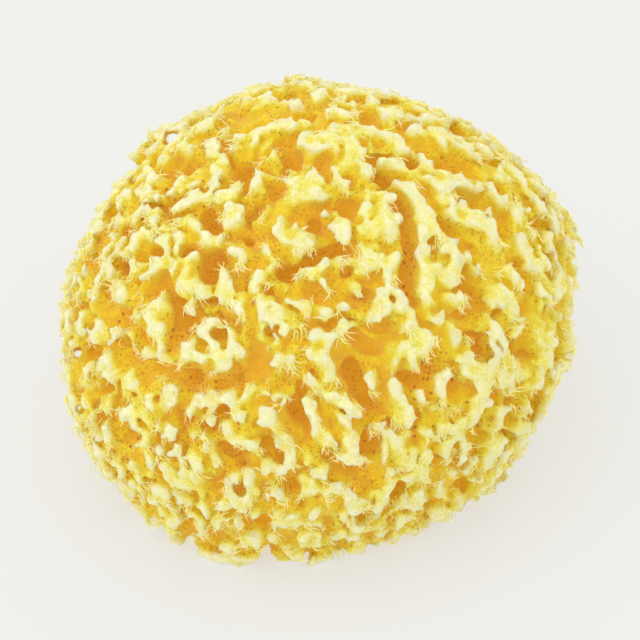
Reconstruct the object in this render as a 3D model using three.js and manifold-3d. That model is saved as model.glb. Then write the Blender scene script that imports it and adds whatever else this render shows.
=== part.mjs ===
// Honeycomb sea sponge: one dried lump, cut flat where it grew on the rock.
//
// Every pit of the lump points at its heart, so the skin is divided on a sphere round the heart:
// each pit owns the Voronoi cell of its direction. A cell is a ridge that it shares with its
// neighbours, a throat ring where the round canal begins, and a floor. Ridges stand highest where
// three pits meet and sag between two of them, lowest where two pits almost run together.
// Millimetres, +Z up, with the origin on the cut face under the middle of the lump.
import * as THREE from "three";
import { ConvexHull } from "three/addons/math/ConvexHull.js";
import { mergeVertices } from "three/addons/utils/BufferGeometryUtils.js";
import Module from "manifold-3d";

const DEG = Math.PI / 180;

// The lump, a full ellipsoid whose long axis leans up to the right
const HEART = new THREE.Vector3(-0.2, 0.48, 36);
const LONG_HALF = 71;
const SHORT_HALF = 64;
const DEEP_HALF = 64.5;
const LONG_AXIS_LEAN = 32 * DEG;
const FULLNESS = 2.15; // exponent of the ellipsoid: 2 is a plain one
const SWELL = 1.1; // height of the small swellings all over it
const SWELL_RUN = 11; // length over which they rise and fall

// The side that the photograph shows: its directions, and how far off it was seen from
const SEEN_ELEVATION = 43 * DEG;
const SEEN_DISTANCE = 800;
const RIGHT = new THREE.Vector3(1, 0, 0);
const UPWARD = new THREE.Vector3(0, Math.sin(SEEN_ELEVATION), Math.cos(SEEN_ELEVATION));
const NEAR = new THREE.Vector3(0, -Math.cos(SEEN_ELEVATION), Math.sin(SEEN_ELEVATION));

// Broad swellings and hollows of its outline: [bearing, towards the viewer, height, breadth], the
// bearing from the right and the breadth in degrees
const SWELLINGS = [
  [66, 0, -7, 22], [0, 0, -5, 10], [16, 0, 4, 10], [133, 0, 3.5, 9], [152, 0, -5, 9],
  [190, 0, -2.5, 12], [273, 0, -3.5, 12], [315, 0, 2, 12], [340, 0, -3, 12],
];

// The photograph, 640 pixels wide and high: its scale at the heart, and the heart's place in it
const PIXELS_PER_MM = 3.74;
const HEART_PIXEL = [318, 320];

// Pits of that side, read off the photograph in its pixels: [from the left, from the top, width,
// depth in millimetres], and for a long one the distance from its middle to the middle of its
// round end, and its turn in degrees
const SEEN_PITS = [
  // the crown
  [330, 104, 14, 6], [369, 106, 15, 7], [412, 106, 26, 8], [222, 108, 14, 6],
  [285, 110, 22, 8], [255, 118, 20, 8], [288, 144, 26, 14], [386, 148, 13, 9, 9, 18],
  [420, 152, 18, 10], [456, 155, 23, 10, 10, -15], [150, 154, 18, 8], [322, 162, 19, 7, 7, 90],
  [234, 166, 24, 14, 8, 93], [393, 171, 18, 12, 10, -17], [352, 176, 16, 7], [266, 180, 23, 8],
  [500, 186, 12, 8],
  // the upper face
  [170, 198, 19, 12, 8, -14], [252, 201, 19, 9], [347, 205, 26, 10], [206, 217, 20, 12, 8, -27],
  [311, 219, 18, 12], [120, 223, 22, 9], [451, 225, 17, 13], [246, 228, 12, 12],
  [432, 244, 11, 9], [321, 249, 15, 12, 15, 10], [461, 248, 16, 14], [179, 251, 13, 12],
  [140, 254, 18, 9], [115, 256, 18, 12], [285, 262, 20, 16], [524, 262, 26, 7],
  [206, 264, 23, 16, 7, -83], [475, 280, 22, 11, 9, -66],
  // the long valley that runs down the right of it
  [402, 205, 16, 13, 7, -74], [406, 237, 19, 12, 10, -80], [411, 272, 21, 12, 9, -77],
  [419, 296, 18, 12],
  // the middle
  [154, 284, 24, 9], [532, 285, 28, 7], [312, 288, 22, 7], [99, 290, 18, 8], [365, 291, 13, 12],
  [268, 292, 10, 8], [390, 295, 12, 10], [554, 307, 9, 6], [469, 311, 16, 8], [528, 312, 18, 7],
  [171, 314, 16, 13, 7, -83], [113, 319, 18, 9], [382, 322, 20, 8], [215, 330, 20, 7],
  [330, 330, 16, 8], [270, 336, 14, 7], [117, 347, 14, 12], [367, 346, 20, 10, 8, -27],
  [484, 347, 14, 11, 7, -74],
  // the lower face
  [441, 363, 12, 10, 7, -83], [250, 372, 24, 7], [151, 373, 21, 8, 9, 6], [183, 378, 18, 14],
  [226, 378, 10, 9], [416, 379, 13, 12, 7, -23], [362, 388, 16, 15, 15, -65], [463, 388, 20, 9],
  [305, 400, 17, 10], [504, 400, 18, 7], [222, 412, 17, 12], [414, 423, 18, 11],
  [384, 427, 12, 10], [302, 428, 25, 15, 8, -83], [181, 431, 19, 14], [208, 434, 15, 13, 5, 22],
  [367, 445, 17, 13, 7, -83],
  // the skirt above the cut
  [164, 449, 19, 12], [226, 458, 24, 16], [272, 462, 13, 10, 10, -49], [340, 466, 13, 10, 7, -34],
  [439, 466, 18, 9], [363, 479, 16, 12], [144, 486, 10, 8], [234, 488, 14, 12], [209, 490, 16, 7],
  [184, 496, 10, 10], [289, 498, 15, 10], [449, 502, 16, 6], [224, 518, 11, 9],
  [254, 533, 16, 8], [315, 537, 18, 7],
];

// The pits of the other sides fill what is left, large ones first and small ones between them
const FILL_TRIES = 2400; // directions tried in each round, evenly spread
const FILL_STRIDE = 997; // step between one try and the next, so that no row shows
const FILL_JITTER = 0.035; // radians
const FILL_ROUNDS = [
  { radius: 3.6, spread: 0.9, wall: 4.2 },
  { radius: 2.6, spread: 0.4, wall: 5.8 },
];
const LOWEST_PIT = -5; // a pit whose mouth is lower than this is lost under the cut
const BLANK_SPACING = 16; // spacing of the blank cells that close the lump under the cut

// Ridges and pits
const LIP_DEPTH = 5; // how far a pit's rim lies below the lump's outer form
const LIP_RUN = 1.7; // length over which the slope from the rim levels out
const LIP_OFFSET = 0.9; // how far outside the rim the steep wall starts
const LIP_LIMIT = 0.74; // how far from the pit's middle to its ridge the wall starts, at most
const FRILL = 1; // how much the ridges' heights vary
const FRILL_RUN = 3.1;
const FLOOR_SHARE = 0.8; // the floor's breadth over that of the wall's start
const FLOOR_RISE = 0.88; // depth of the floor's edge over that of its middle
const SHORT_RIDGE = 5; // a ridge shorter than this has no sag of its own

// Canals that open in the cut face
const CANAL_SPACING = 14;
const CANAL_REACH = 38; // from the middle of the face
const CANAL_RADIUS = 3; // of the smallest
const CANAL_SPREAD = 1.6; // how much larger the largest is
const CANAL_DEPTH = 12;
const CANAL_SIDES = 7;
const CANAL_TAPER = 0.6; // radius at the end over that in the face
const CANAL_STRAY = 3; // how far a canal stands from its place in the lattice

const SKIN = new THREE.MeshStandardMaterial({
  color: new THREE.Color(0.9, 0.77, 0.33),
  roughness: 0.95,
  metalness: 0,
});

// A repeatable number from 0 to 1 for each whole number and use
function chance(number, use) {
  const turned = Math.sin(number * 12.9898 + use * 78.233) * 43758.5453;
  return turned - Math.floor(turned);
}

// A smooth wave over space, from about -1 to 1
function wave(point, run) {
  const x = point.x / run;
  const y = point.y / run;
  const z = point.z / run;
  return (Math.sin(x + 1.3 * z + 0.4) * Math.sin(y - 0.7 * x + 1.7)
    + Math.sin(z + 0.8 * y + 2.9) * Math.cos(x - 0.5 * y)) / 1.6;
}

const LONG_AXIS = RIGHT.clone().multiplyScalar(Math.cos(LONG_AXIS_LEAN))
  .addScaledVector(UPWARD, Math.sin(LONG_AXIS_LEAN));
const SHORT_AXIS = RIGHT.clone().multiplyScalar(-Math.sin(LONG_AXIS_LEAN))
  .addScaledVector(UPWARD, Math.cos(LONG_AXIS_LEAN));

const SWELLING_AXES = SWELLINGS.map(([bearing, towards, height, breadth]) => ({
  axis: RIGHT.clone().multiplyScalar(Math.cos(towards * DEG) * Math.cos(bearing * DEG))
    .addScaledVector(UPWARD, Math.cos(towards * DEG) * Math.sin(bearing * DEG))
    .addScaledVector(NEAR, Math.sin(towards * DEG)),
  height,
  breadth: breadth * DEG,
}));

// Distance from the heart to the lump's outer form
function lumpRadius(direction) {
  const plain = (Math.abs(direction.dot(LONG_AXIS) / LONG_HALF) ** FULLNESS
    + Math.abs(direction.dot(SHORT_AXIS) / SHORT_HALF) ** FULLNESS
    + Math.abs(direction.dot(NEAR) / DEEP_HALF) ** FULLNESS) ** (-1 / FULLNESS);
  const swellings = SWELLING_AXES.reduce((sum, { axis, height, breadth }) =>
    sum + height * Math.exp(-((direction.angleTo(axis) / breadth) ** 2)), 0);
  return plain + swellings + SWELL * wave(direction.clone().multiplyScalar(plain), SWELL_RUN);
}

// The direction from the heart to the point that a sight line meets first
function seenDirection(right, above) {
  const eye = NEAR.clone().multiplyScalar(SEEN_DISTANCE);
  const target = RIGHT.clone().multiplyScalar(right).addScaledVector(UPWARD, above);
  const sight = target.sub(eye).normalize();
  const nearest = -eye.dot(sight);
  const step = 0.5;
  for (let along = nearest - 1.3 * LONG_HALF; along < nearest; along += step) {
    const point = eye.clone().addScaledVector(sight, along);
    if (point.length() < lumpRadius(point.clone().normalize())) return point.normalize();
  }
  return eye.addScaledVector(sight, nearest).normalize();
}

// The n-th of count directions spread evenly over a sphere
function evenDirection(n, count, jitter) {
  const height = 1 - (2 * n + 1) / count;
  const turn = n * Math.PI * (3 - Math.sqrt(5)) + jitter * (chance(n, 1) - 0.5) * 2;
  const lift = Math.asin(height) + jitter * (chance(n, 2) - 0.5) * 2;
  return new THREE.Vector3(
    Math.cos(lift) * Math.cos(turn), Math.cos(lift) * Math.sin(turn), Math.sin(lift));
}

// A pit, with the axes of its mouth: its long one, and the one across it
function makePit(direction, radius, depth, stretch = 0, turn = 0) {
  const long = RIGHT.clone().multiplyScalar(Math.cos(turn * DEG))
    .addScaledVector(UPWARD, Math.sin(turn * DEG));
  long.addScaledVector(direction, -long.dot(direction)).normalize();
  const across = direction.clone().cross(long);
  return { direction, radius, depth, stretch, long, across, reach: lumpRadius(direction) };
}

// Where a direction lies over the skin, seen from a pit's middle: [along its mouth, across it]
function placeFrom(pit, direction) {
  const away = pit.direction.angleTo(direction) * pit.reach;
  const along = direction.dot(pit.long);
  const across = direction.dot(pit.across);
  const scale = away / Math.max(Math.hypot(along, across), 1e-9);
  return [along * scale, across * scale];
}

// Distance over the skin from a pit's rim to a direction, less than 0 inside the pit
function rimGap(pit, direction) {
  const [along, across] = placeFrom(pit, direction);
  return Math.hypot(Math.max(Math.abs(along) - pit.stretch, 0), across) - pit.radius;
}

// Distance from a pit's middle to the edge of a mouth of a given radius, towards a direction
function mouthReach(pit, direction, radius) {
  const [along, across] = placeFrom(pit, direction);
  const away = Math.hypot(along, across);
  const run = Math.abs(along) / away;
  const rise = Math.abs(across) / away;
  if (rise > 0 && run * radius / rise < pit.stretch) return radius / rise;
  return pit.stretch * run + Math.sqrt(radius ** 2 - (pit.stretch * rise) ** 2);
}

function mouthHeight(direction) {
  return HEART.z + direction.z * lumpRadius(direction);
}

function allPits() {
  const pits = SEEN_PITS.map(([x, y, width, depth, stretch = 0, turn = 0]) => {
    const right = (x - HEART_PIXEL[0]) / PIXELS_PER_MM;
    const above = (HEART_PIXEL[1] - y) / PIXELS_PER_MM;
    const radius = width / 2 / PIXELS_PER_MM;
    return makePit(seenDirection(right, above), radius, depth, stretch / PIXELS_PER_MM, turn);
  });
  for (const { radius, spread, wall } of FILL_ROUNDS) {
    for (let n = 0; n < FILL_TRIES; n++) {
      const place = (n * FILL_STRIDE) % FILL_TRIES;
      const direction = evenDirection(place, FILL_TRIES, FILL_JITTER);
      const own = radius + spread * (chance(place, 3) - 0.5) * 2;
      const depth = 4 + 2.6 * own + 3 * chance(place, 4);
      const clear = pits.every((pit) => rimGap(pit, direction) > own + wall);
      if (clear && mouthHeight(direction) > LOWEST_PIT) pits.push(makePit(direction, own, depth));
    }
  }
  for (let n = 0; n < FILL_TRIES; n++) {
    const direction = evenDirection(n, FILL_TRIES, 0);
    const clear = pits.every((pit) => rimGap(pit, direction) + pit.radius > BLANK_SPACING);
    if (clear && mouthHeight(direction) < LOWEST_PIT) pits.push(makePit(direction, 0, 0));
  }
  return pits;
}

// How far the skin lies below the outer form, at a distance from a pit's rim
function slopeDepth(gap) {
  return LIP_DEPTH * Math.exp(-Math.max(gap, 0) / LIP_RUN);
}

// The same on a ridge, whose height varies
function ridgeDepth(pits, direction) {
  const gap = Math.min(...pits.map((pit) => rimGap(pit, direction)));
  const frill = FRILL * wave(direction.clone().multiplyScalar(LONG_HALF), FRILL_RUN);
  return slopeDepth(gap) + Math.max(0, frill);
}

// A list of vertices on the lump, each made once
class Skin {
  constructor() {
    this.positions = [];
    this.corners = [];
    this.known = new Map();
  }

  vertex(direction, depth, key = null) {
    if (key !== null && this.known.has(key)) return this.known.get(key);
    const point = direction.clone().multiplyScalar(lumpRadius(direction) - depth).add(HEART);
    const number = this.positions.length / 3;
    this.positions.push(point.x, point.y, point.z);
    if (key !== null) this.known.set(key, number);
    return number;
  }

  face(...numbers) {
    this.corners.push(...numbers);
  }

  geometry() {
    return new THREE.BufferGeometry()
      .setAttribute("position", new THREE.Float32BufferAttribute(this.positions, 3))
      .setIndex(this.corners);
  }
}

// The junctions round each pit, in order: where the ridges of three neighbouring pits meet
function junctionsRound(pits) {
  const points = pits.map((pit, number) => Object.assign(pit.direction.clone(), { number }));
  const around = pits.map(() => []);
  new ConvexHull().setFromPoints(points).faces.forEach((face, number) => {
    for (let corner = 0; corner < 3; corner++) {
      const pit = face.getEdge(corner).head().point.number;
      around[pit].push({ number, direction: face.normal.clone().normalize() });
    }
  });
  around.forEach((junctions, number) => {
    const axis = pits[number].direction;
    const side = new THREE.Vector3(0.31, -0.72, 0.62).cross(axis).normalize();
    const other = axis.clone().cross(side);
    const turn = ({ direction }) => Math.atan2(direction.dot(other), direction.dot(side));
    junctions.sort((a, b) => turn(a) - turn(b));
  });
  return around;
}

// A ring of vertices round a pit's middle, one towards each junction
function ringRound(skin, pit, junctions, shareOf, depthOf) {
  return junctions.map(({ direction }) => {
    const at = pit.direction.clone().lerp(direction, shareOf(direction)).normalize();
    return skin.vertex(at, depthOf(at));
  });
}

// Adds the two faces that join each side of a ring to the ring inside it
function addWall(skin, outer, inner) {
  outer.forEach((number, n) => {
    const next = (n + 1) % outer.length;
    skin.face(number, outer[next], inner[next], number, inner[next], inner[n]);
  });
}

// Adds one pit's cell to the skin: slopes from its ridge to its rim, then the wall and the floor
function addCell(skin, pits, pit, junctions) {
  const ridge = junctions.map(({ number, direction }) =>
    skin.vertex(direction, ridgeDepth(pits, direction), number));
  const mouth = pit.radius + LIP_OFFSET;
  const shareOf = (direction) => Math.min(LIP_LIMIT,
    mouthReach(pit, direction, mouth) / (pit.direction.angleTo(direction) * pit.reach));
  const rim = ringRound(skin, pit, junctions, shareOf, (at) => slopeDepth(rimGap(pit, at)));
  junctions.forEach((junction, n) => {
    const next = (n + 1) % junctions.length;
    const after = junctions[next];
    const [a, b, c, d] = [ridge[n], ridge[next], rim[n], rim[next]];
    if (junction.direction.angleTo(after.direction) * LONG_HALF < SHORT_RIDGE) {
      skin.face(a, b, d, a, d, c);
      return;
    }
    const sag = junction.direction.clone().add(after.direction).normalize();
    const key = [junction.number, after.number].sort((p, q) => p - q).join("-");
    const middle = skin.vertex(sag, ridgeDepth(pits, sag), key);
    skin.face(a, middle, c, middle, b, d, middle, d, c);
  });
  const floor = ringRound(skin, pit, junctions,
    (direction) => FLOOR_SHARE * shareOf(direction), () => FLOOR_RISE * pit.depth);
  addWall(skin, rim, floor);
  const bottom = skin.vertex(pit.direction, pit.depth);
  floor.forEach((number, n) => skin.face(number, floor[(n + 1) % floor.length], bottom));
}

const wasm = await Module();
wasm.setup();

// Joining and cutting solids
function solidOf(geometry) {
  const plain = geometry.clone().deleteAttribute("normal").deleteAttribute("uv");
  const merged = mergeVertices(plain, 1e-4);
  return new wasm.Manifold(new wasm.Mesh({
    numProp: 3,
    vertProperties: merged.attributes.position.array,
    triVerts: new Uint32Array(merged.index.array),
  }));
}

function geometryOf(solid) {
  const { vertProperties, triVerts } = solid.getMesh();
  return new THREE.BufferGeometry()
    .setAttribute("position", new THREE.BufferAttribute(vertProperties, 3))
    .setIndex(new THREE.BufferAttribute(triVerts, 1));
}

// The lump with its pits, still whole below the cut
function honeycomb() {
  const pits = allPits();
  const skin = new Skin();
  junctionsRound(pits).forEach((junctions, n) => addCell(skin, pits, pits[n], junctions));
  return solidOf(skin.geometry());
}

// A block that covers everything under the cut face
function blockUnderCut() {
  const side = 4 * LONG_HALF;
  return solidOf(new THREE.BoxGeometry(side, side, side).translate(0, 0, -side / 2));
}

// Tapered canals in the cut face, on a loose triangular lattice
function cutFaceCanals() {
  const canals = [];
  const rows = Math.ceil(CANAL_REACH / CANAL_SPACING);
  for (let row = -rows; row <= rows; row++) {
    for (let column = -rows; column <= rows; column++) {
      const number = (row + rows) * 20 + column + rows;
      const x = (column + (row % 2) / 2) * CANAL_SPACING + CANAL_STRAY * (chance(number, 5) - 0.5);
      const y = row * CANAL_SPACING * Math.sin(60 * DEG) + CANAL_STRAY * (chance(number, 6) - 0.5);
      if (Math.hypot(x, y) > CANAL_REACH) continue;
      const radius = CANAL_RADIUS + CANAL_SPREAD * chance(number, 7);
      const length = CANAL_DEPTH + 1;
      canals.push(solidOf(new THREE.CylinderGeometry(radius * CANAL_TAPER, radius, length, CANAL_SIDES)
        .rotateX(90 * DEG).rotateZ(number).translate(x + HEART.x, y + HEART.y, length / 2 - 1)));
    }
  }
  return canals;
}

const sponge = new THREE.Group();
const lump = cutFaceCanals().reduce((solid, canal) => solid.subtract(canal),
  honeycomb().subtract(blockUnderCut()));
const body = new THREE.Mesh(geometryOf(lump), SKIN);
body.name = "sponge";
sponge.add(body);

export default sponge;
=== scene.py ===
"""Honeycomb sea sponge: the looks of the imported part.

The scene is in metres. The sponge's own sizes are in millimetres here, as in the part's source, and
MM brings them into the scene where a mesh is made.
"""
import math

import bpy
import numpy as np
import openvdb
from bpy.props import FloatProperty, FloatVectorProperty, IntProperty, PointerProperty
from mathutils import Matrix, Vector
from mathutils.kdtree import KDTree


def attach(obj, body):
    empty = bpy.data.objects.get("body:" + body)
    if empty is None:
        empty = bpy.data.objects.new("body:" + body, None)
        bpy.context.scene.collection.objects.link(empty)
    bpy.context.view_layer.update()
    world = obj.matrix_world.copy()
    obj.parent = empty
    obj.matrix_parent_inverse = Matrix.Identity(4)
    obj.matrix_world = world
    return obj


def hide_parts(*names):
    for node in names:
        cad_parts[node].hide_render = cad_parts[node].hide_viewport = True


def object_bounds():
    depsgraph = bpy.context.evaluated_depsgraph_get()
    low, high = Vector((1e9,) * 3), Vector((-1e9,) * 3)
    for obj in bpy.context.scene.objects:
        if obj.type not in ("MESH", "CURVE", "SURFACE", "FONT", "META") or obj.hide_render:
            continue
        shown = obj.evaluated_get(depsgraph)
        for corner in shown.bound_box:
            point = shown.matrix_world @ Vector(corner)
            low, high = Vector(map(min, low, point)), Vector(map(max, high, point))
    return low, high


bl_info = {
    "name": "Honeycomb sea sponge",
    "version": (1, 0, 0),
    "blender": (4, 5, 0),
    "location": "3D View > Sidebar > Sponge",
    "description": "Grows the skeleton, torn tufts and felt of a honeycomb sea sponge",
    "category": "Add Mesh",
}

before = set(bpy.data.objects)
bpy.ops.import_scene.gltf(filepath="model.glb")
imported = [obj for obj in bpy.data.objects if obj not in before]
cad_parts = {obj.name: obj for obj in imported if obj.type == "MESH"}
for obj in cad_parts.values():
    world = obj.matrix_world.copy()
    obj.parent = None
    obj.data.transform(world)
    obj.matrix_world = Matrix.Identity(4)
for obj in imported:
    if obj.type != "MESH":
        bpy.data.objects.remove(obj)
cad_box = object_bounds()

MM = 0.001
BODY = "root"
NODE = "sponge"
LEAST_FACES = 1000

# The lump, a full ellipsoid whose long axis leans up to the right
HEART = np.array([-0.2, 0.48, 36.0])
LONG_HALF = 71.0
SHORT_HALF = 64.0
DEEP_HALF = 64.5
LONG_AXIS_LEAN = math.radians(32)
FULLNESS = 2.15
SWELL = 1.1
SWELL_RUN = 11.0

# The side that the camera looks at
SEEN_ELEVATION = math.radians(43)
SEEN_DISTANCE = 800.0
CAMERA_ASIDE = 0.5
RIGHT = np.array([1.0, 0.0, 0.0])
UPWARD = np.array([0.0, math.sin(SEEN_ELEVATION), math.cos(SEEN_ELEVATION)])
NEAR = np.array([0.0, -math.cos(SEEN_ELEVATION), math.sin(SEEN_ELEVATION)])
LONG_AXIS = RIGHT * math.cos(LONG_AXIS_LEAN) + UPWARD * math.sin(LONG_AXIS_LEAN)
SHORT_AXIS = -RIGHT * math.sin(LONG_AXIS_LEAN) + UPWARD * math.cos(LONG_AXIS_LEAN)

# Broad swellings and hollows of its outline: [bearing, towards the viewer, height, breadth]
SWELLINGS = [
    [66, 0, -7, 22], [0, 0, -5, 10], [16, 0, 4, 10], [133, 0, 3.5, 9], [152, 0, -5, 9],
    [190, 0, -2.5, 12], [273, 0, -3.5, 12], [315, 0, 2, 12], [340, 0, -3, 12],
]

# The photograph, 640 pixels wide and high: its scale at the heart, and the heart's place in it
PIXELS_PER_MM = 3.74
HEART_PIXEL = (318, 320)

# Pits of the seen side, as in the part, read in pixels: [from the left, from the top, width, depth
# in millimetres], and for a long one the distance from its middle to the middle of its round end,
# and its turn in degrees
SEEN_PITS = [
    # the crown
    [330, 104, 14, 6], [369, 106, 15, 7], [412, 106, 26, 8], [222, 108, 14, 6],
    [285, 110, 22, 8], [255, 118, 20, 8], [288, 144, 26, 14], [386, 148, 13, 9, 9, 18],
    [420, 152, 18, 10], [456, 155, 23, 10, 10, -15], [150, 154, 18, 8], [322, 162, 19, 7, 7, 90],
    [234, 166, 24, 14, 8, 93], [393, 171, 18, 12, 10, -17], [352, 176, 16, 7], [266, 180, 23, 8],
    [500, 186, 12, 8],
    # the upper face
    [170, 198, 19, 12, 8, -14], [252, 201, 19, 9], [347, 205, 26, 10], [206, 217, 20, 12, 8, -27],
    [311, 219, 18, 12], [120, 223, 22, 9], [451, 225, 17, 13], [246, 228, 12, 12],
    [432, 244, 11, 9], [321, 249, 15, 12, 15, 10], [461, 248, 16, 14], [179, 251, 13, 12],
    [140, 254, 18, 9], [115, 256, 18, 12], [285, 262, 20, 16], [524, 262, 26, 7],
    [206, 264, 23, 16, 7, -83], [475, 280, 22, 11, 9, -66],
    # the long valley that runs down the right of it
    [402, 205, 16, 13, 7, -74], [406, 237, 19, 12, 10, -80], [411, 272, 21, 12, 9, -77],
    [419, 296, 18, 12],
    # the middle
    [154, 284, 24, 9], [532, 285, 28, 7], [312, 288, 22, 7], [99, 290, 18, 8], [365, 291, 13, 12],
    [268, 292, 10, 8], [390, 295, 12, 10], [554, 307, 9, 6], [469, 311, 16, 8], [528, 312, 18, 7],
    [171, 314, 16, 13, 7, -83], [113, 319, 18, 9], [382, 322, 20, 8], [215, 330, 20, 7],
    [330, 330, 16, 8], [270, 336, 14, 7], [117, 347, 14, 12], [367, 346, 20, 10, 8, -27],
    [484, 347, 14, 11, 7, -74],
    # the lower face
    [441, 363, 12, 10, 7, -83], [250, 372, 24, 7], [151, 373, 21, 8, 9, 6], [183, 378, 18, 14],
    [226, 378, 10, 9], [416, 379, 13, 12, 7, -23], [362, 388, 16, 15, 15, -65], [463, 388, 20, 9],
    [305, 400, 17, 10], [504, 400, 18, 7], [222, 412, 17, 12], [414, 423, 18, 11],
    [384, 427, 12, 10], [302, 428, 25, 15, 8, -83], [181, 431, 19, 14], [208, 434, 15, 13, 5, 22],
    [367, 445, 17, 13, 7, -83],
    # the skirt above the cut
    [164, 449, 19, 12], [226, 458, 24, 16], [272, 462, 13, 10, 10, -49], [340, 466, 13, 10, 7, -34],
    [439, 466, 18, 9], [363, 479, 16, 12], [144, 486, 10, 8], [234, 488, 14, 12], [209, 490, 16, 7],
    [184, 496, 10, 10], [289, 498, 15, 10], [449, 502, 16, 6], [224, 518, 11, 9],
    [254, 533, 16, 8], [315, 537, 18, 7],
]

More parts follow.
